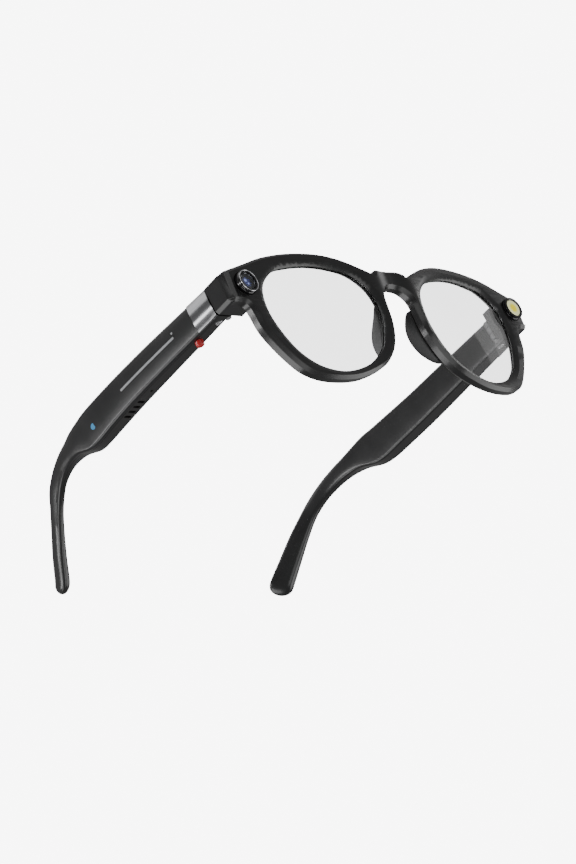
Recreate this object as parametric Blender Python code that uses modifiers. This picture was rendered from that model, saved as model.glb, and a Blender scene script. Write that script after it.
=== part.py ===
"""Smart glasses with a camera in the right end piece and a light in the left one.

Metres, +Z up. The wearer looks along -Y and +X is the wearer's left. The arms lie level, and
the front leans under them by FRONT_TILT. The origin is under the middle of the whole object, at
the height of the lowest points, which are the bottoms of the two rims.
Every piece is first drawn from the datum: the top of the nose bridge's front face lies above it.
"""

import math

import bmesh
import bpy
from mathutils import Matrix, Vector

# Clearances.
FIT_GAP = 0.0003
TRIM_GAP = 0.00015

# The front, drawn upright: x across, y backwards, z up from the cameras' centre line.
FRONT_TILT = math.radians(7.2)
FRONT_HALF_WIDTH = 0.0712
FRONT_HEIGHT = 0.0470
RIM_DEPTH = 0.0044
RIM_CHAMFER = 0.0011
WRAP_SLOPE = 0.113
WRAP_START = -0.0020
BRIDGE_SETBACK = 0.0021
BRIDGE_HALF_WIDTH = 0.0090
BRIDGE_SLICES = 5
SLICE_SNAP = 0.00008

# The lens openings and what sits in them.
NASAL_EDGE = 0.0070
NASAL_RIM = 0.0041
OUTER_EDGE = FRONT_HALF_WIDTH - 0.0060
OUTER_RIM = 0.0067
UPPER_RIM = 0.0048
LOWER_RIM = 0.0032
LENS_THICKNESS = 0.0016
LENS_SETBACK = 0.0015
LENS_GROOVE = 0.0012

# The end pieces, drawn level like the arms and as tall as they are.
ARM_HEIGHT = 0.0103
END_STEP = 0.0017
END_WIDTH = 0.0114
END_HALF_WIDTH = FRONT_HALF_WIDTH + END_STEP
END_INNER = END_HALF_WIDTH - END_WIDTH
END_HEIGHT = ARM_HEIGHT
END_MIDDLE = 0.0003
END_BEVEL = 0.0013
END_WALL = 0.0013
OPTIC_X = END_HALF_WIDTH - 0.0079
FRONT_WALL = 0.003255
POCKET_FRONT = WRAP_START + WRAP_SLOPE * OPTIC_X + FRONT_WALL
POCKET_DEPTH = 0.0063
SEAM_Y = POCKET_FRONT + POCKET_DEPTH
END_COVER_THICKNESS = 0.0012

# The camera and the light, on the front's own axes at OPTIC_X.
BEZEL_RADIUS = 0.00405
BEZEL_WALL = 0.0010
BEZEL_LENGTH = 0.0040
BEZEL_PROUD = 0.0018
WINDOW_THICKNESS = 0.0007
MODULE_RADIUS = 0.0026
MODULE_LENGTH = 0.0028
SENSOR_SIDE = 0.0039
SENSOR_DEPTH = 0.0012
BOARD_THICKNESS = 0.0008
EMITTER_SIDE = 0.0016

# The channel behind the brow, its cover and the flexible circuit that crosses the front.
CHANNEL_WIDTH = 0.0016
CHANNEL_DEPTH = 0.0014
COVER_WIDTH = 0.0024
COVER_THICKNESS = 0.0006
FLEX_WIDTH = 0.0010
FLEX_THICKNESS = 0.0002

# The hinges.
HINGE_X = END_HALF_WIDTH - 0.0077
HINGE_Y = SEAM_Y + 0.0023
BARREL_RADIUS = 0.0015
SCREW_RADIUS = 0.0005
SCREW_HEAD_RADIUS = 0.0010
SCREW_HEAD_HEIGHT = 0.0006
OUTER_KNUCKLE = 0.0021
MIDDLE_KNUCKLE = 0.0024
LEAF_THICKNESS = 0.0008

# The arms, drawn level at each hinge's height.
ARM_LENGTH = 0.1263
ARM_WALL = 0.0012
OUTER_SHELL_DEPTH = 0.0020
SHELL_CORNER = 0.0010
BAND_LENGTH = 0.0090
BAND_THICKNESS = 0.0006
CAVITY_END = 0.0720

# What the arms carry, measured backwards from the seam.
BUTTON_FROM_SEAM = 0.0131
BUTTON_RADIUS = 0.0015
BUTTON_PROUD = 0.0016
BUTTON_TRAVEL = 0.0005
FIXING_FROM_SEAM = 0.0036
FIXING_INSET = 0.0047
STRIP_FROM_SEAM = 0.0182
STRIP_LENGTH = 0.0282
STRIP_HEIGHT = 0.0008
STATUS_RISE = 0.0012
STATUS_RADIUS = 0.0004
BOARD_FROM_SEAM = 0.0165
BOARD_LENGTH = 0.0375
BATTERY_FROM_SEAM = 0.0165
BATTERY_LENGTH = 0.0200
MICROPHONE_FROM_SEAM = 0.0385
MICROPHONE_SIDE = 0.0022
SPEAKER_FROM_SEAM = 0.0430
SPEAKER_LENGTH = 0.0110
SLOT_PITCH = 0.0026
SLOT_LENGTH = 0.0030
SLOT_WIDTH = 0.0011

# Outlines in hundredths of FRONT_HALF_WIDTH and of FRONT_HEIGHT, one half of a symmetric front.
BRIDGE_TOP = ((0.0, 15.5), (5.6, 15.3), (9.4, 13.6), (11.5, 10.4))
BROW = ((11.5, 10.4), (14.6, 12.8), (20.4, 16.8), (28.5, 21.7), (38.8, 25.2), (50.6, 26.2),
        (63.0, 25.2), (75.8, 21.9), (87.5, 16.4), (100.0, 10.6))
RIM_UNDER = ((100.0, -13.0), (97.5, -13.0), (94.4, -13.9), (92.4, -16.6), (91.4, -21.5),
             (89.9, -33.0), (86.6, -43.5), (80.4, -57.0), (73.8, -67.0), (65.6, -72.1),
             (55.0, -73.8), (44.5, -72.8), (34.0, -68.4), (24.5, -61.8), (16.9, -51.0),
             (12.6, -39.6), (10.6, -29.0), (9.9, -17.0), (9.2, -8.0), (6.4, -2.0),
             (3.6, 0.7), (0.0, 1.6))

# The nose pad's sections: height, the rim's edge, the ridge's x and how far back the ridge is.
PAD_RINGS = (
    (-0.0055, 0.0072, 0.0080, 0.0012),
    (-0.0080, 0.0071, 0.0078, 0.0032),
    (-0.0110, 0.0073, 0.0083, 0.0056),
    (-0.0150, 0.0079, 0.0098, 0.0064),
    (-0.0190, 0.0091, 0.0113, 0.0056),
    (-0.0225, 0.0110, 0.0129, 0.0036),
    (-0.0250, 0.0128, 0.0146, 0.0014),
)

# The lens opening in hundredths of its half width and half height, from its centre.
OPENING = ((95, 57), (100, 8), (84, -45), (62, -77), (33, -95), (-2, -100), (-43, -87), (-77, -59),
           (-94, -23), (-100, 15), (-93, 55), (-69, 83), (-33, 96), (5, 100), (41, 96), (69, 87))

# The brow channel's middle line, in the outline's own hundredths.
CHANNEL_LINE = ((0.0, 9.4), (6.0, 9.2), (11.5, 5.9), (17.5, 10.4), (25.6, 16.2), (38.0, 21.2),
                (50.0, 22.4), (62.0, 21.4), (74.0, 18.0), (85.0, 12.2))

# The arm's side view and plan: how far along the top and the bottom edge lie in hundredths of
# ARM_LENGTH, their heights in hundredths of ARM_HEIGHT, then in millimetres the outer face's bow,
# the thickness, and how far the top edge leans inwards on the outer and on the inner face.
ARM_STATIONS = (
    (0.0, 53, 0.0, -47, 0.00, 6.65, 0.0, 0.0),
    (11.5, 57, 11.5, -48, 0.75, 7.30, 0.0, 0.0),
    (23.3, 61, 23.3, -49, 1.45, 7.80, 0.0, 0.0),
    (35.3, 64, 35.3, -50, 1.75, 8.00, 0.0, 0.0),
    (44.7, 68, 44.7, -51, 1.25, 7.80, 0.0, 0.0),
    (51.9, 71, 51.9, -52, 0.45, 7.30, 0.0, 0.0),
    (55.8, 71, 56.2, -44, -0.35, 7.20, 0.0, 0.0),
    (60.6, 66, 60.9, -18, -1.15, 6.80, 0.0, 0.0),
    (64.5, 61, 65.0, -7, -2.45, 5.80, 0.0, 0.0),
    (69.3, 55, 69.1, -6, -3.95, 4.90, 0.0, 0.0),
    (74.8, 40, 73.4, -16, -5.95, 4.00, 0.0, 0.2),
    (80.0, 12, 76.8, -32, -7.75, 3.60, 0.3, 0.9),
    (84.3, -27, 80.8, -61, -9.75, 3.30, 0.8, 2.1),
    (88.7, -72, 85.2, -109, -11.75, 3.30, 1.1, 3.4),
    (93.9, -129, 89.8, -165, -13.75, 3.70, 1.6, 4.1),
    (98.4, -181, 94.3, -223, -16.05, 3.90, 1.9, 4.5),
    (100.0, -204, 96.5, -245, -16.75, 3.10, 1.7, 3.9),
)

SIDES = (("right", -1), ("left", 1))


# ---------------------------------------------------------------- curves


def catmull_rom(before, start, end, after, share):
    """The point a share of the way from start to end on a smooth line through all four."""
    values = []
    for a, b, c, d in zip(before, start, end, after):
        linear = (c - a) * share
        square = (2 * a - 5 * b + 4 * c - d) * share**2
        cube = (3 * b - a - 3 * c + d) * share**3
        values.append(0.5 * (2 * b + linear + square + cube))
    return tuple(values)


def smooth_line(points, steps):
    """An open smooth line through the points, with this many steps between neighbours."""
    ends = [points[0], *points, points[-1]]
    line = []
    for i in range(len(points) - 1):
        for step in range(steps):
            line.append(catmull_rom(*ends[i : i + 4], step / steps))
    return line + [tuple(points[-1])]


def smooth_loop(points, steps):
    """A closed smooth line through the points."""
    count = len(points)
    loop = []
    for i in range(count):
        around = [points[(i + k) % count] for k in (-1, 0, 1, 2)]
        for step in range(steps):
            loop.append(catmull_rom(*around, step / steps))
    return loop


def grown(loop, distance):
    """The closed line moved outwards by a distance along its own normals."""
    count = len(loop)
    area = sum(loop[i - 1][0] * loop[i][1] - loop[i][0] * loop[i - 1][1] for i in range(count))
    turn = 1 if area > 0 else -1
    moved = []
    for i in range(count):
        along = Vector(loop[(i + 1) % count]) - Vector(loop[i - 1])
        along.normalize()
        moved.append((loop[i][0] + turn * distance * along.y, loop[i][1] - turn * distance * along.x))
    return moved


def wrap(x):
    """How far back the front's face lies at x: two flat halves swept back, and a set-back bridge."""
    share = min(abs(x) / BRIDGE_HALF_WIDTH, 1.0)
    eased = share * share * (3 - 2 * share)
    return WRAP_START + WRAP_SLOPE * abs(x) + BRIDGE_SETBACK * (1 - eased)


def front_point(across, up):
    return (across / 100 * FRONT_HALF_WIDTH, up / 100 * FRONT_HEIGHT)


def front_outline():
    """The whole outline of the front, corner to corner, as one closed line."""
    bridge = smooth_line([front_point(*p) for p in BRIDGE_TOP], 3)
    brow = smooth_line([front_point(*p) for p in BROW], 4)
    under = smooth_line([front_point(*p) for p in RIM_UNDER], 3)
    half = bridge[:-1] + brow + under
    other = [(-x, z) for x, z in reversed(half[1:-1])]
    return half + other


def opening_outline(side):
    """The lens opening, which fills the rim but for the rim's own widths."""
    low_x = NASAL_EDGE + NASAL_RIM
    high_x = OUTER_EDGE - OUTER_RIM
    high_z = max(up for _, up in BROW) / 100 * FRONT_HEIGHT - UPPER_RIM
    low_z = min(up for _, up in RIM_UNDER) / 100 * FRONT_HEIGHT + LOWER_RIM
    points = []
    for across, up in OPENING:
        x = (low_x + high_x) / 2 + across / 100 * (high_x - low_x) / 2
        z = (low_z + high_z) / 2 + up / 100 * (high_z - low_z) / 2
        points.append((side * x, z))
    return smooth_loop(points, 3)


# ---------------------------------------------------------------- the scene


def cleared_collection(name):
    collection = bpy.data.collections.new(name)
    bpy.context.scene.collection.children.link(collection)
    return collection


for old in list(bpy.data.objects):
    bpy.data.objects.remove(old)
PARTS = cleared_collection("smart_glasses")
CUTTERS = cleared_collection("smart_glasses_cutters")


def material(name, color, roughness, metallic=0.0, alpha=1.0):
    made = bpy.data.materials.get(name)
    if made:
        return made
    made = bpy.data.materials.new(name)
    made.use_nodes = True
    shader = made.node_tree.nodes["Principled BSDF"]
    shader.inputs["Base Color"].default_value = (*color, 1)
    shader.inputs["Roughness"].default_value = roughness
    shader.inputs["Metallic"].default_value = metallic
    shader.inputs["Alpha"].default_value = alpha
    return made


def frame_black():
    return material("black_frame_plastic", (0.020, 0.020, 0.021), 0.38)


def arm_black():
    return material("black_arm_plastic", (0.022, 0.022, 0.023), 0.34)


def pad_black():
    return material("soft_black_pad", (0.018, 0.018, 0.018), 0.55)


def band_metal():
    return material("brushed_silver", (0.56, 0.56, 0.57), 0.32, 1.0)


def hinge_metal():
    return material("hinge_steel", (0.50, 0.50, 0.50), 0.30, 1.0)


def bezel_metal():
    return material("polished_bezel", (0.70, 0.70, 0.72), 0.15, 1.0)


def lens_clear():
    return material("clear_lens", (0.85, 0.87, 0.88), 0.03, 0.0, 0.25)


def camera_glass():
    return material("camera_glass", (0.02, 0.03, 0.09), 0.05)


def board_green():
    return material("circuit_board", (0.02, 0.12, 0.06), 0.45)


def flex_amber():
    return material("flexible_circuit", (0.45, 0.20, 0.04), 0.45)


def dark_part():
    return material("dark_component", (0.05, 0.05, 0.055), 0.45)


def button_red():
    return material("red_button", (0.62, 0.03, 0.03), 0.35)


def pale_light_guide():
    return material("pale_light_guide", (0.62, 0.64, 0.66), 0.40)


def emitter_yellow():
    return material("yellow_emitter", (0.90, 0.80, 0.12), 0.40)


def reflector_white():
    return material("white_reflector", (0.85, 0.85, 0.83), 0.25)


def battery_foil():
    return material("battery_foil", (0.42, 0.43, 0.45), 0.35, 0.8)


def empty(name, parent, location=(0, 0, 0), rotation=(0, 0, 0)):
    made = bpy.data.objects.new(name, None)
    made.parent = parent
    made.location = location
    made.rotation_euler = rotation
    made.empty_display_size = 0.01
    CUTTERS.objects.link(made)
    return made


def placed(name, mesh, parent, finish, location=(0, 0, 0), rotation=(0, 0, 0)):
    """A piece of the object when it has a finish, else a cutter."""
    made = bpy.data.objects.new(name, mesh)
    made.parent = parent
    made.location = location
    made.rotation_euler = rotation
    if finish is None:
        CUTTERS.objects.link(made)
        made.hide_render = True
        made.display_type = "WIRE"
        return made
    PARTS.objects.link(made)
    mesh.materials.append(finish)
    mesh.shade_smooth()
    mesh.set_sharp_from_angle(angle=math.radians(30))
    return made


def joined(target, other, operation):
    """A Boolean with another object, kept as a modifier."""
    modifier = target.modifiers.new(f"{operation.lower()}_{other.name}"[:60], "BOOLEAN")
    modifier.operation = operation
    modifier.solver = "EXACT"
    modifier.object = other


def cut(target, *cutters):
    for cutter in cutters:
        joined(target, cutter, "DIFFERENCE")


def with_union(target, *others):
    for other in others:
        joined(target, other, "UNION")


# ---------------------------------------------------------------- mesh makers


def box_mesh(name, low, high):
    """A box between two corners."""
    shape = bmesh.new()
    bmesh.ops.create_cube(shape, size=1.0)
    for vertex in shape.verts:
        for axis in range(3):
            middle = (low[axis] + high[axis]) / 2
            vertex.co[axis] = middle + vertex.co[axis] * (high[axis] - low[axis])
    return finished_mesh(name, shape)


def cylinder_mesh(name, radius, length, sides=20, top_radius=None):
    """A cylinder along Z, centred."""
    shape = bmesh.new()
    top = radius if top_radius is None else top_radius
    bmesh.ops.create_cone(
        shape, cap_ends=True, segments=sides, radius1=radius, radius2=top, depth=length
    )
    return finished_mesh(name, shape)


def finished_mesh(name, shape):
    bmesh.ops.recalc_face_normals(shape, faces=shape.faces)
    mesh = bpy.data.meshes.new(name)
    shape.to_mesh(mesh)
    shape.free()
    return mesh


def lofted_mesh(name, rings):
    """A closed skin over rings with the same number of points, with flat ends."""
    shape = bmesh.new()
    rows = [[shape.verts.new(point) for point in ring] for ring in rings]
    count = len(rows[0])
    for near, far in zip(rows, rows[1:]):
        for i in range(count):
            shape.faces.new((near[i], near[(i + 1) % count], far[(i + 1) % count], far[i]))
    shape.faces.new(rows[0])
    shape.faces.new(rows[-1])
    return finished_mesh(name, shape)


def turned_mesh(name, profile, sides=28):
    """A ring or a cup turned about Z from a closed (radius, height) profile."""
    rings = []
    for step in range(sides):
        angle = 2 * math.pi * step / sides
        rings.append([(r * math.cos(angle), r * math.sin(angle), z) for r, z in profile])
    shape = bmesh.new()
    rows = [[shape.verts.new(point) for point in ring] for ring in rings]
    count = len(profile)
    for step in range(sides):
        near, far = rows[step], rows[(step + 1) % sides]
        for i in range(count):
            shape.faces.new((near[i], near[(i + 1) % count], far[(i + 1) % count], far[i]))
    return finished_mesh(name, shape)


def plate_mesh(name, loops, thickness, chamfer=0.0):
    """A flat plate with these outlines in X and Y, the first outside and the others holes."""
    curve = bpy.data.curves.new(name, "CURVE")
    curve.dimensions = "2D"
    curve.fill_mode = "BOTH"
    curve.extrude = thickness / 2 - chamfer
    curve.bevel_depth = chamfer
    curve.bevel_resolution = 0
    curve.offset = -chamfer
    for loop in loops:
        spline = curve.splines.new("POLY")
        spline.points.add(len(loop) - 1)
        for point, (x, y) in zip(spline.points, loop):
            point.co = (x, y, 0, 1)
        spline.use_cyclic_u = True
    holder = bpy.data.objects.new(name, curve)
    bpy.context.scene.collection.objects.link(holder)
    graph = bpy.context.evaluated_depsgraph_get()
    mesh = bpy.data.meshes.new_from_object(holder.evaluated_get(graph))
    bpy.data.objects.remove(holder)
    shape = bmesh.new()
    shape.from_mesh(mesh)
    bmesh.ops.remove_doubles(shape, verts=shape.verts, dist=0.00001)
    bpy.data.meshes.remove(mesh)
    return finished_mesh(name, shape)


def sliced(mesh, places):
    """Cuts a plate's faces across at these places along X, so that it can curve there."""
    shape = bmesh.new()
    shape.from_mesh(mesh)
    for place in places:
        geometry = [*shape.verts, *shape.edges, *shape.faces]
        cut = {"plane_co": (place, 0, 0), "plane_no": (1, 0, 0), "dist": SLICE_SNAP}
        bmesh.ops.bisect_plane(shape, geom=geometry, **cut)
    shape.to_mesh(mesh)
    shape.free()


def front_plate_mesh(name, loops, depth, setback, chamfer=0.0):
    """A plate stood upright behind the front's face and swept back with it."""
    mesh = plate_mesh(name, loops, depth, chamfer)
    steps = range(-BRIDGE_SLICES, BRIDGE_SLICES + 1)
    sliced(mesh, [BRIDGE_HALF_WIDTH * step / BRIDGE_SLICES for step in steps])
    mesh.transform(Matrix.Rotation(math.radians(90), 4, "X"))
    for vertex in mesh.vertices:
        vertex.co.y += wrap(vertex.co.x) + setback + depth / 2
    return mesh


def strip_mesh(name, line, width, near, far):
    """A flat strip that follows the front's back face, between two distances behind its front face."""
    rings = []
    for i, (x, z) in enumerate(line):
        before = Vector(line[max(i - 1, 0)])
        after = Vector(line[min(i + 1, len(line) - 1)])
        along = (after - before).normalized()
        side = Vector((-along.y, along.x)) * width / 2
        ring = []
        for sign, depth in ((-1, near), (1, near), (1, far), (-1, far)):
            px = x + sign * side.x
            ring.append((px, wrap(px) + depth, z + sign * side.y))
        rings.append(ring)
    return lofted_mesh(name, rings)


# ---------------------------------------------------------------- the front


def channel_line():
    half = smooth_line([front_point(*p) for p in CHANNEL_LINE], 2)
    return [(-x, z) for x, z in reversed(half[1:])] + half


def end_height(share):
    """A height in the end piece: -1 is its underside and 1 its top."""
    return END_MIDDLE + share * END_HEIGHT / 2


def end_block_mesh(name, side):
    """The solid behind the front's corner that meets the arm at the seam."""
    plan = (
        (END_INNER, wrap(END_INNER) + RIM_DEPTH / 2),
        (FRONT_HALF_WIDTH - FIT_GAP, wrap(FRONT_HALF_WIDTH) + RIM_CHAMFER),
        (END_HALF_WIDTH, wrap(FRONT_HALF_WIDTH) + RIM_CHAMFER + END_BEVEL),
        (END_HALF_WIDTH, SEAM_Y),
        (END_INNER, SEAM_Y),
    )
    mesh = plate_mesh(name, [[(side * x, y) for x, y in plan]], END_HEIGHT)
    mesh.transform(Matrix.Translation((0, 0, END_MIDDLE)))
    return mesh


def pocket_box(side, inset):
    """The two corners of the end piece's pocket, each face moved inwards by the inset."""
    inner = END_INNER + END_WALL + inset
    outer = END_HALF_WIDTH - END_WALL - inset
    low = end_height(-1) + END_WALL + inset
    high = end_height(1) - END_WALL - inset
    xs = sorted((side * inner, side * outer))
    return xs, (low, high)


def end_pocket(name, side, root):
    xs, zs = pocket_box(side, 0)
    low = (xs[0], POCKET_FRONT, zs[0])
    high = (xs[1], SEAM_Y + END_WALL, zs[1])
    return placed(f"{name}_end_pocket", box_mesh("pocket", low, high), root, None)


def on_optic_axis(name, mesh, plane, side, finish, behind):
    """Stands a turned piece on the camera's or the light's axis, its Z end facing forwards."""
    y = wrap(OPTIC_X) + behind
    return placed(name, mesh, plane, finish, (side * OPTIC_X, y, 0), (math.radians(90), 0, 0))


def make_front(root, plane):
    """The moulded front: rims, brow, bridge and end pieces in one piece."""
    openings = [opening_outline(side) for _, side in SIDES]
    mesh = front_plate_mesh("front_frame", [front_outline(), *openings], RIM_DEPTH, 0, RIM_CHAMFER)
    front = placed("front_frame", mesh, plane, frame_black())
    for name, side in SIDES:
        block = placed(f"{name}_end_block", end_block_mesh("block", side), root, None)
        with_union(front, block)
    for name, side in SIDES:
        groove = [grown(opening_outline(side), LENS_GROOVE)]
        depth = LENS_THICKNESS + 2 * FIT_GAP
        shape = front_plate_mesh("groove", groove, depth, LENS_SETBACK - FIT_GAP)
        bore_depth = POCKET_FRONT - wrap(OPTIC_X) + FIT_GAP
        bore = cylinder_mesh("bore", BEZEL_RADIUS + FIT_GAP, 2 * bore_depth, 28)
        cut(
            front,
            placed(f"{name}_lens_groove", shape, plane, None),
            on_optic_axis(f"{name}_optic_bore", bore, plane, side, None, 0),
            end_pocket(name, side, root),
        )
    line = channel_line()
    inside = RIM_DEPTH - COVER_THICKNESS - FIT_GAP
    seat = strip_mesh("seat", line, COVER_WIDTH + 2 * FIT_GAP, inside, RIM_DEPTH + END_WALL)
    deep = strip_mesh("deep", line, CHANNEL_WIDTH, RIM_DEPTH - CHANNEL_DEPTH - COVER_THICKNESS, RIM_DEPTH)
    cut(front, placed("cover_seat", seat, plane, None), placed("flex_channel", deep, plane, None))
    return front


def make_brow(plane):
    """The flexible circuit that crosses the front and the cover over its channel."""
    line = channel_line()
    back = RIM_DEPTH - COVER_THICKNESS - FIT_GAP
    flex = strip_mesh("brow_flex", line, FLEX_WIDTH, back - FIT_GAP - FLEX_THICKNESS, back - FIT_GAP)
    placed("brow_flex", flex, plane, flex_amber())
    cover = strip_mesh("brow_cover", line, COVER_WIDTH, back + FIT_GAP, RIM_DEPTH)
    placed("brow_cover", cover, plane, frame_black())


def make_lens(name, side, plane):
    loop = grown(opening_outline(side), LENS_GROOVE - FIT_GAP)
    mesh = front_plate_mesh("lens", [loop], LENS_THICKNESS, LENS_SETBACK)
    placed(f"lens_{name}", mesh, plane, lens_clear())


def make_nose_pad(name, side, plane):
    """A soft pad behind the nose side of the rim: a low ridge that follows the rim downwards."""
    rings = []
    for up, edge_x, ridge_x, reach in PAD_RINGS:
        ring = []
        for x, share in (
            (edge_x + 0.0004, 0.0),
            (ridge_x - 0.0014, 0.7),
            (ridge_x + 0.0001, 1.0),
            (ridge_x + 0.0016, 0.75),
            (edge_x + 0.0034, 0.0),
        ):
            ring.append((side * x, wrap(x) + RIM_DEPTH + FIT_GAP + share * reach, up))
        rings.append(ring)
    mesh = lofted_mesh("nose_pad", rings)
    pad = placed(f"nose_pad_{name}", mesh, plane, pad_black())
    rounding = pad.modifiers.new("rounding", "SUBSURF")
    rounding.levels = 1
    rounding.render_levels = rounding.levels


def ring_profile(outer, inner, length):
    edge = BEZEL_WALL / 4
    return (
        (inner, 0),
        (outer, 0),
        (outer, length - edge),
        (outer - edge, length),
        (inner + edge, length),
        (inner, length - edge),
    )


def make_optic_rim(prefix, side, plane, finish, glass):
    """The bezel and the window that the camera and the light both have."""
    back = BEZEL_LENGTH - BEZEL_PROUD
    inner = BEZEL_RADIUS - BEZEL_WALL
    ring = turned_mesh("bezel", ring_profile(BEZEL_RADIUS, inner, BEZEL_LENGTH))
    on_optic_axis(f"{prefix}_bezel", ring, plane, side, finish, back)
    window = cylinder_mesh("window", inner - FIT_GAP, WINDOW_THICKNESS, 28)
    behind = 2 * FIT_GAP - BEZEL_PROUD + WINDOW_THICKNESS
    on_optic_axis(f"{prefix}_window", window, plane, side, glass, behind)


def make_camera(side, plane):
    """A lens barrel on its square sensor housing, and the board behind it."""
    start = 4 * FIT_GAP - BEZEL_PROUD + 1.5 * WINDOW_THICKNESS
    barrel_middle = start + MODULE_LENGTH / 2
    barrel = on_optic_axis(
        "camera_module", cylinder_mesh("barrel", MODULE_RADIUS, MODULE_LENGTH, 24), plane, side, dark_part(),
        barrel_middle,
    )
    sensor_start = start + MODULE_LENGTH - FIT_GAP
    base = SENSOR_DEPTH + FIT_GAP
    low = (side * OPTIC_X - SENSOR_SIDE / 2, wrap(OPTIC_X) + sensor_start, -SENSOR_SIDE / 2)
    high = (side * OPTIC_X + SENSOR_SIDE / 2, wrap(OPTIC_X) + sensor_start + base, SENSOR_SIDE / 2)
    with_union(barrel, placed("sensor_housing", box_mesh("sensor", low, high), plane, None))
    make_optic_board("camera_board", side, plane, sensor_start + base + FIT_GAP)


def make_optic_board(name, side, plane, behind):
    start = wrap(OPTIC_X) + behind
    half = SENSOR_SIDE / 2
    low = (side * OPTIC_X - half, start, -half)
    high = (side * OPTIC_X + half, start + BOARD_THICKNESS, half)
    placed(name, box_mesh(name, low, high), plane, board_green())


def make_light(side, plane):
    """A cup reflector with its emitter and board."""
    start = 4 * FIT_GAP - BEZEL_PROUD + 1.5 * WINDOW_THICKNESS
    rim = BEZEL_RADIUS - BEZEL_WALL - FIT_GAP
    throat = EMITTER_SIDE / 2 * 1.2
    wall = 0.0004
    profile = (
        (throat, 0),
        (throat + wall, 0),
        (rim, MODULE_LENGTH - wall),
        (rim, MODULE_LENGTH),
        (rim - wall, MODULE_LENGTH),
    )
    cup = turned_mesh("cup", profile, 24)
    on_optic_axis("light_reflector", cup, plane, side, reflector_white(), start + MODULE_LENGTH)
    half = EMITTER_SIDE / 2
    emitter_start = wrap(OPTIC_X) + start + MODULE_LENGTH + FIT_GAP
    low = (side * OPTIC_X - half, emitter_start, -half)
    high = (side * OPTIC_X + half, emitter_start + wall, half)
    placed("light_emitter", box_mesh("emitter", low, high), plane, emitter_yellow())
    make_optic_board("light_board", side, plane, start + MODULE_LENGTH + wall + 2 * FIT_GAP)


def make_end_cover(name, side, root):
    """Closes the end piece's pocket, beside the hinge leaf."""
    xs, zs = pocket_box(side, FIT_GAP)
    inner = side * (HINGE_X + BARREL_RADIUS + 2 * FIT_GAP)
    low = (min(inner, side * abs(xs[1] if side > 0 else xs[0])), SEAM_Y - END_COVER_THICKNESS, zs[0])
    high = (max(inner, side * abs(xs[1] if side > 0 else xs[0])), SEAM_Y, zs[1])
    placed(f"end_cover_{name}", box_mesh("end_cover", low, high), root, frame_black())


# ---------------------------------------------------------------- the hinges


def knuckle_levels():
    """The heights of the lower, middle and upper knuckle, as (low, high) pairs."""
    half = MIDDLE_KNUCKLE / 2
    lower = (END_MIDDLE - half - FIT_GAP - OUTER_KNUCKLE, END_MIDDLE - half - FIT_GAP)
    upper = (END_MIDDLE + half + FIT_GAP, END_MIDDLE + half + FIT_GAP + OUTER_KNUCKLE)
    return lower, (END_MIDDLE - half, END_MIDDLE + half), upper


def knuckle(name, side, parent, offset, low, high, finish=None):
    mesh = cylinder_mesh("knuckle", BARREL_RADIUS, high - low, 20)
    x = side * HINGE_X - offset[0]
    return placed(name, mesh, parent, finish, (x, HINGE_Y - offset[1], (low + high) / 2))


def hinge_bore(name, side, parent, offset):
    mesh = cylinder_mesh("bore", SCREW_RADIUS + FIT_GAP, 3 * END_HEIGHT, 16)
    return placed(name, mesh, parent, None, (side * HINGE_X - offset[0], HINGE_Y - offset[1], END_MIDDLE))


def make_front_leaf(name, side, root):
    """A plate held in the end piece's pocket, with the two outer knuckles."""
    xs, zs = pocket_box(side, FIT_GAP)
    inner = xs[0] if side > 0 else xs[1]
    outer = side * (HINGE_X + BARREL_RADIUS)
    low = (min(inner, outer), SEAM_Y - END_COVER_THICKNESS - FIT_GAP, zs[0])
    high = (max(inner, outer), SEAM_Y - FIT_GAP, zs[1])
    leaf = placed(f"hinge_leaf_front_{name}", box_mesh("leaf", low, high), root, hinge_metal())
    lower, _, upper = knuckle_levels()
    for label, (bottom, top) in (("lower", lower), ("upper", upper)):
        link_x = sorted((side * (HINGE_X - BARREL_RADIUS * 0.8), side * (HINGE_X + BARREL_RADIUS * 0.5)))
        link_low = (link_x[0], SEAM_Y - 3 * FIT_GAP, bottom)
        link_high = (link_x[1], HINGE_Y, top)
        link = placed(f"{name}_{label}_link", box_mesh("link", link_low, link_high), root, None)
        round_end = knuckle(f"{name}_{label}_knuckle", side, root, (0, 0), bottom, top)
        with_union(leaf, link, round_end)
    cut(leaf, hinge_bore(f"{name}_front_bore", side, root, (0, 0)))


def make_hinge_screw(name, side, root):
    """A shouldered screw up through all three knuckles."""
    lower, _, upper = knuckle_levels()
    bottom = lower[0] - FIT_GAP
    shank = cylinder_mesh("shank", SCREW_RADIUS, upper[1] - bottom, 16)
    place = (side * HINGE_X, HINGE_Y, (upper[1] + bottom) / 2)
    screw = placed(f"hinge_screw_{name}", shank, root, hinge_metal(), place)
    head = cylinder_mesh("head", SCREW_HEAD_RADIUS, SCREW_HEAD_HEIGHT, 20)
    head_place = (side * HINGE_X, HINGE_Y, bottom - SCREW_HEAD_HEIGHT / 2 + FIT_GAP / 4)
    with_union(screw, placed(f"{name}_screw_head", head, root, None, head_place))


# ---------------------------------------------------------------- the arms


def arm_stations(steps=2):
    """Smooth stations along the arm: top y and z, bottom y and z, outer x, thickness and leans."""
    stations = []
    for top_along, top_up, low_along, low_up, bow, *widths in ARM_STATIONS:
        stations.append((
            ARM_START + top_along / 100 * ARM_LENGTH,
            top_up / 100 * ARM_HEIGHT,
            ARM_START + low_along / 100 * ARM_LENGTH,
            low_up / 100 * ARM_HEIGHT,
            END_HALF_WIDTH + bow / 1000,
            *(width / 1000 for width in widths),
        ))
    return smooth_line(stations, steps)


ARM_START = SEAM_Y + 2 * FIT_GAP


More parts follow.
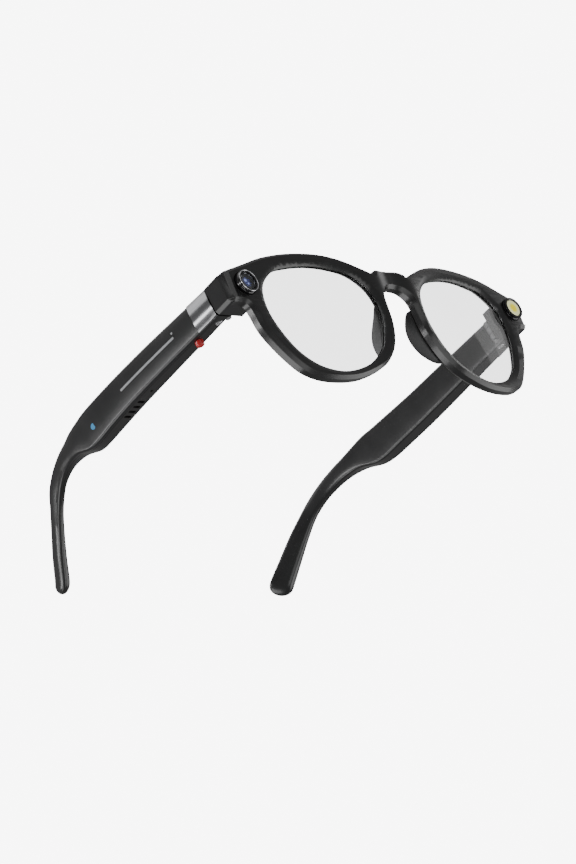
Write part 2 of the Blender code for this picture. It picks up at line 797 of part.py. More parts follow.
def station_at(y):
    """The arm's section at a distance back, between the two nearest stations."""
    stations = arm_stations(4)
    for near, far in zip(stations, stations[1:]):
        if y <= far[0]:
            break
    share = (y - near[0]) / (far[0] - near[0])
    return tuple(a + (b - a) * share for a, b in zip(near, far))


def shell_depth(thickness):
    return min(OUTER_SHELL_DEPTH, 0.45 * thickness)


def section_ring(station, inner, outer, corner_side, corner, low_inset=0.0, leans=(0.0, 0.0)):
    """One section between two x values, with its corners rounded on one side (1 outer, -1 inner)."""
    top_y, top_z, low_y, low_z = station[:4]
    down = Vector((low_y - top_y, low_z - top_z))
    reach = down.normalized()
    top = Vector((top_y, top_z)) + reach * low_inset
    low = Vector((low_y, low_z)) - reach * low_inset
    flat, round_x = (inner, outer) if corner_side > 0 else (outer, inner)
    points = [(flat, low)]
    for end, inwards, turns in ((low, -reach, (0, 1, 2, 3)), (top, reach, (3, 2, 1, 0))):
        for turn in turns:
            angle = math.radians(30 * turn)
            x = round_x - corner_side * corner * (1 - math.sin(angle))
            points.append((x, end + inwards * corner * (1 - math.cos(angle))))
    points.append((flat, top))
    if not corner:
        points = [(flat, low), (round_x, low), (round_x, top), (flat, top)]
    ring = []
    for x, point in points:
        rise = (point - low).dot(-reach) / (top - low).length
        inner_share = (outer - x) / (outer - inner)
        lean = leans[0] + (leans[1] - leans[0]) * inner_share
        ring.append((x - lean * rise, point.x, point.y))
    return ring


def mirrored(rings, side):
    return [[(side * x, y, z) for x, y, z in ring] for ring in rings]


def hinge_offset(side):
    return (side * HINGE_X, HINGE_Y, 0)


def placed_on_arm(name, mesh, side, pivot, finish):
    """An arm piece drawn from the datum, hung on the empty that stands on the hinge's axis."""
    return placed(name, mesh, pivot, finish, -Vector(hinge_offset(side)))


def make_outer_shell(name, side, pivot):
    """The outer half of the arm's casing, recessed at its front end for the band."""
    rings = []
    for station in arm_stations():
        outer, thickness, lean, _ = station[4:]
        split = outer - shell_depth(thickness)
        corner = min(SHELL_CORNER, shell_depth(thickness) * 0.6)
        rings.append(section_ring(station, split, outer, 1, corner, 0.0, (lean, lean)))
    shell = placed_on_arm(f"outer_shell_{name}", lofted_mesh("outer", mirrored(rings, side)), side, pivot,
                          arm_black())
    cut(shell, placed_on_arm(f"{name}_band_recess", band_mesh("recess", side, FIT_GAP), side, pivot, None))
    return shell


def band_mesh(name, side, gap):
    """The band's C section, thicker and longer by the gap when it is the recess that holds it."""
    rings = []
    for y in (ARM_START - gap, ARM_START + BAND_LENGTH / 2, ARM_START + BAND_LENGTH + gap):
        station = station_at(y)
        outer = station[4] + gap
        grown_station = (station[0], station[1] + gap, station[2], station[3] - gap, *station[4:])
        inner = station[4] - BAND_THICKNESS - gap
        rings.append(section_ring(grown_station, inner, outer, 1, SHELL_CORNER / 2 if not gap else 0.0))
    return lofted_mesh(name, mirrored(rings, side))


def make_band(name, side, pivot):
    placed_on_arm(f"accent_band_{name}", band_mesh("band", side, 0), side, pivot, band_metal())


def cavity_mesh(side):
    """The room inside the inner shell, open towards the outer shell."""
    rings = []
    for share in (0.0, 0.2, 0.4, 0.6, 0.8, 1.0):
        station = station_at(ARM_START + ARM_WALL + share * (CAVITY_END - ARM_WALL))
        outer, thickness = station[4:6]
        inner = outer - thickness + ARM_WALL
        rings.append(section_ring(station, inner, outer, 1, 0.0, ARM_WALL))
    return lofted_mesh("cavity", mirrored(rings, side))


def make_inner_shell(name, side, pivot):
    """The inner half of the casing, a tub that holds the electronics."""
    rings = []
    for station in arm_stations():
        outer, thickness, *leans = station[4:]
        inner = outer - thickness
        split = outer - shell_depth(thickness) - FIT_GAP
        corner = min(SHELL_CORNER, (split - inner) * 0.6)
        rings.append(section_ring(station, inner, split, -1, corner, 0.0, leans))
    shell = placed_on_arm(f"inner_shell_{name}", lofted_mesh("inner", mirrored(rings, side)), side, pivot,
                          arm_black())
    lower, middle, upper = knuckle_levels()
    room = cylinder_mesh("room", BARREL_RADIUS + FIT_GAP, upper[1] - lower[0] + 4 * FIT_GAP, 20)
    barrel_room = placed(f"{name}_barrel_room", room, pivot, None, (0, 0, END_MIDDLE))
    leaf_low = (side * HINGE_X, HINGE_Y - BARREL_RADIUS - FIT_GAP, middle[0] - FIT_GAP)
    reach = side * (station_at(HINGE_Y)[4] - station_at(HINGE_Y)[5] + ARM_WALL + FIT_GAP)
    leaf_high = (reach, HINGE_Y + BARREL_RADIUS + FIT_GAP, middle[1] + FIT_GAP)
    leaf_slot = corner_box("leaf_slot", leaf_low, leaf_high)
    hole_radius = SCREW_HEAD_RADIUS * 1.3 + FIT_GAP
    cut(
        shell,
        placed_on_arm(f"{name}_arm_cavity", cavity_mesh(side), side, pivot, None),
        barrel_room,
        placed_on_arm(f"{name}_leaf_slot", leaf_slot, side, pivot, None),
        underside_hole(f"{name}_fixing_hole", side, pivot, FIXING_FROM_SEAM, hole_radius, FIXING_INSET),
    )
    return shell


def corner_box(name, first, second):
    """A box between two opposite corners given in any order."""
    low = [min(a, b) for a, b in zip(first, second)]
    high = [max(a, b) for a, b in zip(first, second)]
    return box_mesh(name, low, high)


def underside_point(side, from_seam, inset=None):
    """A point on the arm's underside, halfway across the room inside or an inset from the outer face."""
    station = station_at(ARM_START + from_seam)
    outer, thickness = station[4:6]
    middle = (thickness - ARM_WALL + shell_depth(thickness)) / 2
    across = outer - (middle if inset is None else inset)
    return Vector((side * across, ARM_START + from_seam, station[3]))


def underside_hole(name, side, pivot, from_seam, radius, inset=None):
    point = underside_point(side, from_seam, inset)
    mesh = cylinder_mesh("hole", radius, 2 * ARM_WALL + FIT_GAP, 16)
    mesh.transform(Matrix.Translation(point))
    return placed_on_arm(name, mesh, side, pivot, None)


def make_temple_leaf(name, side, pivot):
    """The middle knuckle and the plate that it carries inside the arm."""
    _, (bottom, top), _ = knuckle_levels()
    leaf = knuckle(f"hinge_leaf_temple_{name}", side, pivot, (side * HINGE_X, HINGE_Y), bottom, top,
                   hinge_metal())
    wall = station_at(HINGE_Y)[4] - station_at(HINGE_Y)[5] + ARM_WALL + FIT_GAP
    front = ARM_START + ARM_WALL + FIT_GAP
    link = corner_box(
        "link", (side * HINGE_X, front, bottom),
        (side * (wall + LEAF_THICKNESS), HINGE_Y + BARREL_RADIUS * 0.6, top),
    )
    plate = corner_box(
        "plate", (side * wall, front, bottom - LEAF_THICKNESS),
        (side * (wall + LEAF_THICKNESS), ARM_START + BAND_LENGTH, top + LEAF_THICKNESS),
    )
    with_union(
        leaf,
        placed_on_arm(f"{name}_leaf_link", link, side, pivot, None),
        placed_on_arm(f"{name}_leaf_plate", plate, side, pivot, None),
    )
    cut(leaf, hinge_bore(f"{name}_leaf_bore", side, pivot, (side * HINGE_X, HINGE_Y)))


def make_fixing_screw(name, side, pivot):
    """The ring-headed screw in the arm's underside, by the hinge."""
    point = underside_point(side, FIXING_FROM_SEAM, FIXING_INSET)
    mesh = cylinder_mesh("fixing", SCREW_HEAD_RADIUS * 1.3, ARM_WALL - FIT_GAP, 20)
    mesh.transform(Matrix.Translation(point + Vector((0, 0, (ARM_WALL - FIT_GAP) / 2))))
    placed_on_arm(f"fixing_screw_{name}", mesh, side, pivot, hinge_metal())


def cavity_span(from_seam, length):
    """The room common to the cavity over a length: inner x, outer x, floor and ceiling."""
    spans = [station_at(ARM_START + from_seam + share * length) for share in (0, 0.5, 1)]
    inner = max(s[4] - s[5] for s in spans) + ARM_WALL + FIT_GAP
    outer = min(s[4] - shell_depth(s[5]) for s in spans) - FIT_GAP
    floor = max(s[3] for s in spans) + ARM_WALL + FIT_GAP
    ceiling = min(s[1] for s in spans) - ARM_WALL - FIT_GAP
    return inner, outer, floor, ceiling


def board_face():
    """The x of the board's inner face, which everything beside it stops short of."""
    return cavity_span(BOARD_FROM_SEAM, BOARD_LENGTH)[1] - BOARD_THICKNESS


def make_battery(name, side, pivot):
    inner, _, floor, ceiling = cavity_span(BATTERY_FROM_SEAM, BATTERY_LENGTH)
    start = ARM_START + BATTERY_FROM_SEAM
    mesh = corner_box(
        "battery",
        (side * inner, start, floor + 2 * FIT_GAP),
        (side * (board_face() - FIT_GAP), start + BATTERY_LENGTH, ceiling),
    )
    placed_on_arm(f"battery_{name}", mesh, side, pivot, battery_foil())


def make_board(name, side, pivot):
    """A board against the outer shell, beside the battery."""
    _, _, floor, ceiling = cavity_span(BOARD_FROM_SEAM, BOARD_LENGTH)
    start = ARM_START + BOARD_FROM_SEAM
    mesh = corner_box(
        "board",
        (side * board_face(), start, floor + FIT_GAP),
        (side * (board_face() + BOARD_THICKNESS), start + BOARD_LENGTH, ceiling),
    )
    placed_on_arm(f"circuit_board_{name}", mesh, side, pivot, board_green())


def make_right_extras(outer_shell, inner_shell, side, pivot):
    """The touch strip, status light, microphone, speaker and capture button of the right arm."""
    make_touch_strip(outer_shell, side, pivot)
    make_status_light(outer_shell, side, pivot)
    make_microphone(inner_shell, side, pivot)
    make_speaker(inner_shell, side, pivot)


def make_touch_strip(outer_shell, side, pivot):
    start = ARM_START + STRIP_FROM_SEAM
    end = start + STRIP_LENGTH
    rings, room = [], []
    for y in (start, (start + end) / 2, end):
        station = station_at(y)
        face = station[4]
        middle = (station[1] + station[3]) / 2
        for target, gap, proud in ((rings, 0, 0), (room, TRIM_GAP, TRIM_GAP)):
            half = STRIP_HEIGHT / 2 + gap
            shift = gap if y == end else -gap if y == start else 0
            inner = face - OUTER_SHELL_DEPTH - (FIT_GAP if gap else 0)
            outer = face + (FIT_GAP if gap else 0)
            target.append([
                (inner, y + shift, middle - half), (outer, y + shift, middle - half),
                (outer, y + shift, middle + half), (inner, y + shift, middle + half),
            ])
    strip = lofted_mesh("strip", mirrored(rings, side))
    placed_on_arm("touch_strip", strip, side, pivot, pale_light_guide())
    slot = lofted_mesh("slot", mirrored(room, side))
    cut(outer_shell, placed_on_arm("strip_slot", slot, side, pivot, None))


def make_status_light(outer_shell, side, pivot):
    station = station_at(ARM_START + STRIP_FROM_SEAM)
    height = (station[1] + station[3]) / 2 + STATUS_RISE + STRIP_HEIGHT / 2
    middle = (side * (station[4] - OUTER_SHELL_DEPTH / 2), ARM_START + STRIP_FROM_SEAM, height)
    turn = Matrix.Translation(middle) @ Matrix.Rotation(math.radians(90), 4, "Y")
    for name, radius, length, finish in (
        ("status_light", STATUS_RADIUS, OUTER_SHELL_DEPTH, pale_light_guide()),
        ("status_light_hole", STATUS_RADIUS + TRIM_GAP, 2 * OUTER_SHELL_DEPTH, None),
    ):
        mesh = cylinder_mesh(name, radius, length, 14)
        mesh.transform(turn)
        made = placed_on_arm(name, mesh, side, pivot, finish)
        if finish is None:
            cut(outer_shell, made)


def make_microphone(inner_shell, side, pivot):
    """A small can over its sound hole in the underside."""
    cut(inner_shell, underside_hole("microphone_hole", side, pivot, MICROPHONE_FROM_SEAM, 0.0005))
    point = underside_point(side, MICROPHONE_FROM_SEAM)
    half = MICROPHONE_SIDE / 2
    floor = point.z + ARM_WALL + FIT_GAP
    far = side * (board_face() - FIT_GAP)
    mesh = corner_box(
        "microphone",
        (far - side * MICROPHONE_SIDE, point.y - half, floor),
        (far, point.y + half, floor + half),
    )
    placed_on_arm("microphone", mesh, side, pivot, hinge_metal())


def make_speaker(inner_shell, side, pivot):
    """The driver, the mesh below it and the row of slots in the underside."""
    first = SPEAKER_FROM_SEAM + SLOT_PITCH / 2
    for i in range(4):
        point = underside_point(side, first + i * SLOT_PITCH)
        low = (point.x - SLOT_LENGTH / 2, point.y - SLOT_WIDTH / 2, point.z - ARM_WALL)
        high = (point.x + SLOT_LENGTH / 2, point.y + SLOT_WIDTH / 2, point.z + ARM_WALL + FIT_GAP)
        slot = placed_on_arm(f"speaker_slot_{i + 1}", box_mesh("slot", low, high), side, pivot, None)
        cut(inner_shell, slot)
    inner, _, floor, ceiling = cavity_span(SPEAKER_FROM_SEAM, SPEAKER_LENGTH)
    y_low = ARM_START + SPEAKER_FROM_SEAM
    y_high = y_low + SPEAKER_LENGTH
    far = board_face() - FIT_GAP
    mesh_top = floor + 0.0004
    grille = corner_box("grille", (side * inner, y_low, floor), (side * far, y_high, mesh_top))
    placed_on_arm("speaker_mesh", grille, side, pivot, hinge_metal())
    body = corner_box(
        "speaker", (side * inner, y_low, mesh_top + FIT_GAP), (side * far, y_high, ceiling)
    )
    placed_on_arm("speaker", body, side, pivot, dark_part())


def make_capture_button(inner_shell, side, pivot):
    """The red button under the right arm, its flange inside and its switch above."""
    point = underside_point(side, BUTTON_FROM_SEAM)
    cut(inner_shell, underside_hole("button_hole", side, pivot, BUTTON_FROM_SEAM, BUTTON_RADIUS + TRIM_GAP))
    flange_low = point.z + ARM_WALL + TRIM_GAP
    cap_length = flange_low + FIT_GAP - (point.z - BUTTON_PROUD)
    offset = Vector(hinge_offset(side))
    place = Vector((point.x, point.y, point.z - BUTTON_PROUD + cap_length / 2)) - offset
    cap = placed(
        "capture_button", cylinder_mesh("cap", BUTTON_RADIUS * 0.85, cap_length, 24, BUTTON_RADIUS), pivot,
        button_red(), place,
    )
    flange = cylinder_mesh("flange", BUTTON_RADIUS + 2.5 * TRIM_GAP, FIT_GAP * 2, 24)
    flange_place = Vector((point.x, point.y, flange_low + FIT_GAP)) - offset
    with_union(cap, placed("button_flange", flange, pivot, None, flange_place))
    switch_low = flange_low + 2 * FIT_GAP + BUTTON_TRAVEL + FIT_GAP
    half = 0.0014
    low = (point.x - half, point.y - half, switch_low)
    high = (point.x + half, point.y + half, switch_low + 0.001)
    switch = corner_box("switch", low, high)
    placed_on_arm("button_switch", switch, side, pivot, hinge_metal())


def make_arm(name, side, root):
    pivot = empty(f"{name}_hinge_axis", root, hinge_offset(side))
    outer_shell = make_outer_shell(name, side, pivot)
    inner_shell = make_inner_shell(name, side, pivot)
    make_band(name, side, pivot)
    make_temple_leaf(name, side, pivot)
    make_fixing_screw(name, side, pivot)
    make_battery(name, side, pivot)
    make_board(name, side, pivot)
    if name == "right":
        make_right_extras(outer_shell, inner_shell, side, pivot)
        make_capture_button(inner_shell, side, pivot)


def stand_on_origin(root):
    """Moves everything so that the origin is under the middle of the object, where it stands."""
    bpy.context.view_layer.update()
    graph = bpy.context.evaluated_depsgraph_get()
    low = Vector((math.inf,) * 3)
    high = -low
    for piece in PARTS.objects:
        solid = piece.evaluated_get(graph)
        mesh = solid.to_mesh()
        for vertex in mesh.vertices:
            point = solid.matrix_world @ vertex.co
            low = Vector(map(min, low, point))
            high = Vector(map(max, high, point))
        solid.to_mesh_clear()
    root.location = (-(low.x + high.x) / 2, -(low.y + high.y) / 2, -low.z)


def main():
    root = empty("glasses", None)
    plane = empty("front_plane", root, (0, 0, 0), (FRONT_TILT, 0, 0))
    make_front(root, plane)
    make_brow(plane)
    for name, side in SIDES:
        make_lens(name, side, plane)
        make_nose_pad(name, side, plane)
        make_end_cover(name, side, root)
        make_front_leaf(name, side, root)
        make_hinge_screw(name, side, root)
    make_optic_rim("camera", -1, plane, bezel_metal(), camera_glass())
    make_camera(-1, plane)
    make_optic_rim("light", 1, plane, dark_part(), lens_clear())
    make_light(1, plane)
    for name, side in SIDES:
        make_arm(name, side, root)
    stand_on_origin(root)


main()
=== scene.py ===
import math

import bmesh
import bpy
from mathutils import Matrix, Vector


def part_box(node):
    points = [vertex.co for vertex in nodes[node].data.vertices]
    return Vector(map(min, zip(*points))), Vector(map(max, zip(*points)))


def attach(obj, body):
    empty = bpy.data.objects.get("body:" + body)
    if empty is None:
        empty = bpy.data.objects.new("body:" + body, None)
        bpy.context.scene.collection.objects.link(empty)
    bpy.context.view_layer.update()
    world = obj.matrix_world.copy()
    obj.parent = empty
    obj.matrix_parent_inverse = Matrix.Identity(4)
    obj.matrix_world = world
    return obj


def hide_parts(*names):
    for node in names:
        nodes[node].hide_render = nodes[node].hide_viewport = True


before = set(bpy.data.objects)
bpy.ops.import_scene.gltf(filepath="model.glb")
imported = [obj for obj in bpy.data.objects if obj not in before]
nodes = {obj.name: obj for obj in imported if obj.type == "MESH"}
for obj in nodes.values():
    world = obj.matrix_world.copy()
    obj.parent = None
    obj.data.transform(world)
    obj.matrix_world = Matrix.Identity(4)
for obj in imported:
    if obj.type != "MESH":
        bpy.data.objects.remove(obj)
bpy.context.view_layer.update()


# ---------------------------------------------------------------- front moulding
# The front is one injection moulding in black plastic: two rims, the brow, the bridge and two
# hollow end pieces. Its outer edge has a flat chamfer, and a bevel runs in to each lens.

front_tilt = math.radians(7.2)
front_half_width = 0.0712
front_height = 0.0470
rim_depth = 0.0044
rim_chamfer = 0.0011
wrap_start, wrap_slope = -0.0020, 0.113
bridge_half_width, bridge_setback = 0.0090, 0.0021
bridge_slices, bridge_slice = 12, 0.00075
hinge_x, hinge_y = 0.0652, 0.0172
end_middle = 0.0003
fit = 0.0003

hinge_low, hinge_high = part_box("hinge_screw_left")
cover_low, cover_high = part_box("end_cover_left")
datum = Vector((0, (hinge_low.y + hinge_high.y) / 2 - hinge_y,
                (cover_low.z + cover_high.z) / 2 - end_middle))
level = Matrix.Translation(datum)
upright = level @ Matrix.Rotation(front_tilt, 4, "X")
sides = (("right", -1), ("left", 1))

bridge_top = ((0.0, 15.5), (5.6, 15.3), (9.4, 13.6), (11.5, 10.4))
brow = ((11.5, 10.4), (14.6, 12.8), (20.4, 16.8), (28.5, 21.7), (38.8, 25.2), (50.6, 26.2),
        (63.0, 25.2), (75.8, 21.9), (87.5, 16.4), (100.0, 10.6))
rim_under = ((100.0, -13.0), (97.5, -13.0), (94.4, -13.9), (92.4, -16.6), (91.4, -21.5),
             (89.9, -33.0), (86.6, -43.5), (80.4, -57.0), (73.8, -67.0), (65.6, -72.1),
             (55.0, -73.8), (44.5, -72.8), (34.0, -68.4), (24.5, -61.8), (16.9, -51.0),
             (12.6, -39.6), (10.6, -29.0), (9.9, -17.0), (9.2, -8.0), (6.4, -2.0),
             (3.6, 0.7), (0.0, 1.6))
lens_hole = ((95, 57), (100, 8), (84, -45), (62, -77), (33, -95), (-2, -100), (-43, -87), (-77, -59),
             (-94, -23), (-100, 15), (-93, 55), (-69, 83), (-33, 96), (5, 100), (41, 96), (69, 87))
hole_low_x, hole_high_x = 0.0111, 0.0585
hole_low_z, hole_high_z = -0.738 * front_height + 0.0032, 0.262 * front_height - 0.0048


def between(a, b, c, d, share):
    """A point from b to c on the smooth line through all four."""
    found = []
    for p, q, r, s in zip(a, b, c, d):
        linear = (r - p) * share
        square = (2 * p - 5 * q + 4 * r - s) * share**2
        cube = (3 * q - p - 3 * r + s) * share**3
        found.append(0.5 * (2 * q + linear + square + cube))
    return tuple(found)


def open_line(points, steps):
    ends = [points[0], *points, points[-1]]
    line = [between(*ends[i : i + 4], k / steps) for i in range(len(points) - 1) for k in range(steps)]
    return line + [tuple(points[-1])]


def closed_line(points, steps):
    count = len(points)
    return [
        between(*[points[(i + k) % count] for k in (-1, 0, 1, 2)], step / steps)
        for i in range(count)
        for step in range(steps)
    ]


def moved_out(loop, distance):
    """A closed line moved outwards by a distance."""
    count = len(loop)
    area = sum(loop[i - 1][0] * loop[i][1] - loop[i][0] * loop[i - 1][1] for i in range(count))
    turn = math.copysign(distance, area)
    moved = []
    for i in range(count):
        along = (Vector(loop[(i + 1) % count]) - Vector(loop[i - 1])).normalized()
        moved.append((loop[i][0] + turn * along.y, loop[i][1] - turn * along.x))
    return moved


def face_at(x):
    """How far back the front face lies at x: two swept halves and a set-back bridge."""
    share = min(abs(x) / bridge_half_width, 1.0)
    return wrap_start + wrap_slope * abs(x) + bridge_setback * (1 - share * share * (3 - 2 * share))


def on_front(across, up):
    return (across / 100 * front_half_width, up / 100 * front_height)


def front_outline(steps):
    half = open_line([on_front(*p) for p in bridge_top], steps)[:-1]
    half += open_line([on_front(*p) for p in brow], steps)
    half += open_line([on_front(*p) for p in rim_under], steps)
    return half + [(-x, z) for x, z in reversed(half[1:-1])]


def hole_outline(side, steps):
    points = []
    for across, up in lens_hole:
        x = (hole_low_x + hole_high_x) / 2 + across / 100 * (hole_high_x - hole_low_x) / 2
        z = (hole_low_z + hole_high_z) / 2 + up / 100 * (hole_high_z - hole_low_z) / 2
        points.append((side * x, z))
    return closed_line(points, steps)


def finished(name, shape):
    bmesh.ops.recalc_face_normals(shape, faces=shape.faces)
    mesh = bpy.data.meshes.new(name)
    shape.to_mesh(mesh)
    shape.free()
    return mesh


def skin(name, rings, closed=False):
    """A closed skin over rings with the same number of points, flat at the ends or joined up."""
    shape = bmesh.new()
    rows = [[shape.verts.new(point) for point in ring] for ring in rings]
    count = len(rows[0])
    pairs = list(zip(rows, rows[1:]))
    if closed:
        pairs.append((rows[-1], rows[0]))
    for near, far in pairs:
        for i in range(count):
            shape.faces.new((near[i], near[(i + 1) % count], far[(i + 1) % count], far[i]))
    if not closed:
        shape.faces.new(rows[0])
        shape.faces.new(rows[-1])
    return finished(name, shape)


def plate(name, loops, thickness, chamfer=0.0):
    """A flat plate with these outlines in X and Y, the first outside and the others holes."""
    curve = bpy.data.curves.new(name, "CURVE")
    curve.dimensions = "2D"
    curve.fill_mode = "BOTH"
    curve.extrude = thickness / 2 - chamfer
    curve.bevel_depth = chamfer
    curve.bevel_resolution = 0
    curve.offset = -chamfer
    for loop in loops:
        spline = curve.splines.new("POLY")
        spline.points.add(len(loop) - 1)
        for point, (x, y) in zip(spline.points, loop):
            point.co = (x, y, 0, 1)
        spline.use_cyclic_u = True
    holder = bpy.data.objects.new(name, curve)
    bpy.context.scene.collection.objects.link(holder)
    solid = holder.evaluated_get(bpy.context.evaluated_depsgraph_get())
    mesh = bpy.data.meshes.new_from_object(solid)
    bpy.data.objects.remove(holder)
    shape = bmesh.new()
    shape.from_mesh(mesh)
    bmesh.ops.remove_doubles(shape, verts=shape.verts, dist=0.00001)
    bpy.data.meshes.remove(mesh)
    return finished(name, shape)


def front_plate(name, loops, depth, setback, chamfer=0.0):
    """A plate behind the front's face. Slices across the bridge let it curve there."""
    shape = bmesh.new()
    source = plate(name, loops, depth, chamfer)
    shape.from_mesh(source)
    for step in range(-bridge_slices, bridge_slices + 1):
        geometry = [*shape.verts, *shape.edges, *shape.faces]
        middle = (bridge_slice * step, 0, 0)
        bmesh.ops.bisect_plane(shape, geom=geometry, dist=0.000001, plane_co=middle, plane_no=(1, 0, 0))
    bmesh.ops.remove_doubles(shape, verts=shape.verts, dist=0.000002)
    mesh = finished(name, shape)
    mesh.transform(Matrix.Rotation(math.radians(90), 4, "X"))
    for vertex in mesh.vertices:
        vertex.co.y += face_at(vertex.co.x) + setback + depth / 2
    return mesh


def box(name, first, second):
    shape = bmesh.new()
    bmesh.ops.create_cube(shape, size=1.0)
    for vertex in shape.verts:
        for axis in range(3):
            low, high = sorted((first[axis], second[axis]))
            vertex.co[axis] = (low + high) / 2 + vertex.co[axis] * (high - low)
    return finished(name, shape)


def rod(name, radius, length, count=48):
    shape = bmesh.new()
    bmesh.ops.create_cone(shape, cap_ends=True, segments=count, radius1=radius, radius2=radius, depth=length)
    return finished(name, shape)


def put(name, mesh, place, body=None, finish=None):
    """Stands a mesh in the row frame. One with a finish is a piece that rides on a body."""
    mesh.transform(place)
    made = bpy.data.objects.new(name, mesh)
    bpy.context.scene.collection.objects.link(made)
    if body is None:
        made.hide_render = True
        return made
    mesh.materials.append(finish)
    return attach(made, body)


def carve(piece, cutters, operation="DIFFERENCE"):
    """Applies Booleans with the cutters and removes them."""
    for cutter in cutters:
        step = piece.modifiers.new(cutter.name, "BOOLEAN")
        step.operation = operation
        step.solver = "MANIFOLD"
        step.object = cutter
    bake(piece)
    for cutter in cutters:
        bpy.data.objects.remove(cutter)


def bake(piece):
    """Applies the modifiers and keeps the piece's finish."""
    finishes = list(piece.data.materials)
    solid = piece.evaluated_get(bpy.context.evaluated_depsgraph_get())
    mesh = bpy.data.meshes.new_from_object(solid)
    piece.modifiers.clear()
    piece.data = mesh
    mesh.materials.clear()
    for finish in finishes:
        mesh.materials.append(finish)
    mesh.polygons.foreach_set("material_index", [0] * len(mesh.polygons))


def soften(piece, width, segments=2, angle=28):
    """Rounds the sharp edges a little and shades the rest smooth."""
    rounding = piece.modifiers.new("rounding", "BEVEL")
    rounding.width = width
    rounding.segments = segments
    rounding.limit_method = "ANGLE"
    rounding.angle_limit = math.radians(angle)
    rounding.harden_normals = False
    rounding.use_clamp_overlap = True
    rounding.miter_outer = "MITER_ARC"
    bake(piece)
    shade(piece, 35)


def shade(piece, angle=40):
    piece.data.shade_smooth()
    piece.data.set_sharp_from_angle(angle=math.radians(angle))
    flow = piece.modifiers.new("even_shading", "WEIGHTED_NORMAL")
    flow.keep_sharp = True
    bake(piece)


def node(tree, kind, setting=None, **inputs):
    """A shader node with its settings and inputs, each a value or another node's output."""
    made = tree.nodes.new("ShaderNode" + kind)
    for key, value in (setting or {}).items():
        setattr(made, key, value)
    for key, value in inputs.items():
        socket = made.inputs[int(key[1:])] if key[0] == "_" else made.inputs[key.replace("_", " ")]
        if isinstance(value, bpy.types.NodeSocket):
            tree.links.new(value, socket)
        else:
            socket.default_value = value
    return made


def fixed_to_piece(tree):
    return node(tree, "TexCoord").outputs["Object"]


def ramp(tree, value, low, high):
    """A value or colour from low to high as the mask goes from 0 to 1."""
    if isinstance(low, tuple):
        mixed = node(tree, "Mix", {"data_type": "RGBA"}, _0=value, _6=(*low, 1), _7=(*high, 1))
        return mixed.outputs[2]
    return node(tree, "MapRange", None, Value=value, To_Min=low, To_Max=high).outputs[0]


def new_group(name, inputs, outputs):
    group = bpy.data.node_groups.new(name, "ShaderNodeTree")
    for label, value in inputs:
        socket = group.interface.new_socket(label, in_out="INPUT", socket_type="NodeSocketFloat")
        socket.default_value = value
    for label in outputs:
        group.interface.new_socket(label, in_out="OUTPUT", socket_type="NodeSocketFloat")
    return group, group.nodes.new("NodeGroupInput"), group.nodes.new("NodeGroupOutput")


def use_group(tree, group, **inputs):
    made = tree.nodes.new("ShaderNodeGroup")
    made.node_tree = group
    for key, value in inputs.items():
        made.inputs[key.replace("_", " ")].default_value = value
    return made


def moulded_grain_group():
    """Broad tone and a fine spark-eroded texture, both fixed to the piece."""
    group, given, made = new_group("moulded_grain", (("Tone Size", 60.0), ("Grain Size", 3500.0)),
                                   ("Tone", "Height"))
    spot = fixed_to_piece(group)
    tone = node(group, "TexNoise", None, Vector=spot, Detail=4.0, Roughness=0.6)
    grain = node(group, "TexNoise", None, Vector=spot, Detail=3.0, Roughness=0.7)
    group.links.new(given.outputs["Tone Size"], tone.inputs["Scale"])
    group.links.new(given.outputs["Grain Size"], grain.inputs["Scale"])
    spread = node(group, "MapRange", {"clamp": True}, Value=tone.outputs["Fac"], From_Min=0.3, From_Max=0.7)
    group.links.new(spread.outputs[0], made.inputs["Tone"])
    group.links.new(grain.outputs["Fac"], made.inputs["Height"])
    return group


moulded_grain = moulded_grain_group()


def feed(shader, **inputs):
    """Links values, colours or directions to a shader's inputs."""
    for key, value in inputs.items():
        shader.id_data.links.new(value, shader.inputs[key.replace("_", " ")])


def emboss(tree, shader, height, distance, strength):
    """Raises the surface by a mask."""
    relief = node(tree, "Bump", None, Height=height, Distance=distance, Strength=strength)
    feed(shader, Normal=relief.outputs[0])


def new_finish(name, **constants):
    """A material whose shader holds these plain values."""
    finish = bpy.data.materials.new(name)
    finish.use_nodes = True
    shader = finish.node_tree.nodes["Principled BSDF"]
    for key, value in constants.items():
        shader.inputs[key.replace("_", " ")].default_value = value
    return finish, finish.node_tree, shader


def moulded(name, dark, light, smooth, rough, grain=3500.0, bump=0.00001, tone=60.0, **constants):
    """Moulded plastic: a little tone, a varying sheen and a fine grain."""
    finish, tree, shader = new_finish(name, **constants)
    surface = use_group(tree, moulded_grain, Grain_Size=grain, Tone_Size=tone)
    feed(shader, Base_Color=ramp(tree, surface.outputs["Tone"], dark, light),
         Roughness=ramp(tree, surface.outputs["Tone"], smooth, rough))
    emboss(tree, shader, surface.outputs["Height"], bump, 0.6)
    return finish


front_black = moulded("front_black", (0.0085, 0.0085, 0.009), (0.013, 0.013, 0.0135), 0.26, 0.33,
                      Coat_Weight=0.25, Coat_Roughness=0.12)

end_inner, end_outer, seam_y, pocket_front = 0.0615, 0.0729, 0.0149, 0.0086
end_height, end_wall = 0.0103, 0.0013
optic_x, bezel_radius = 0.0650, 0.00405
lens_groove, lens_setback, lens_thickness, lens_play = 0.0012, 0.0015, 0.0016, 0.00008
end_low, end_high = end_middle - end_height / 2, end_middle + end_height / 2


def corner_arc(middle, radius, start, end, steps=5):
    """Points round a corner, in degrees about its middle."""
    points = []
    for i in range(steps + 1):
        angle = math.radians(start + (end - start) * i / steps)
        points.append((middle[0] + radius * math.cos(angle), middle[1] + radius * math.sin(angle)))
    return points


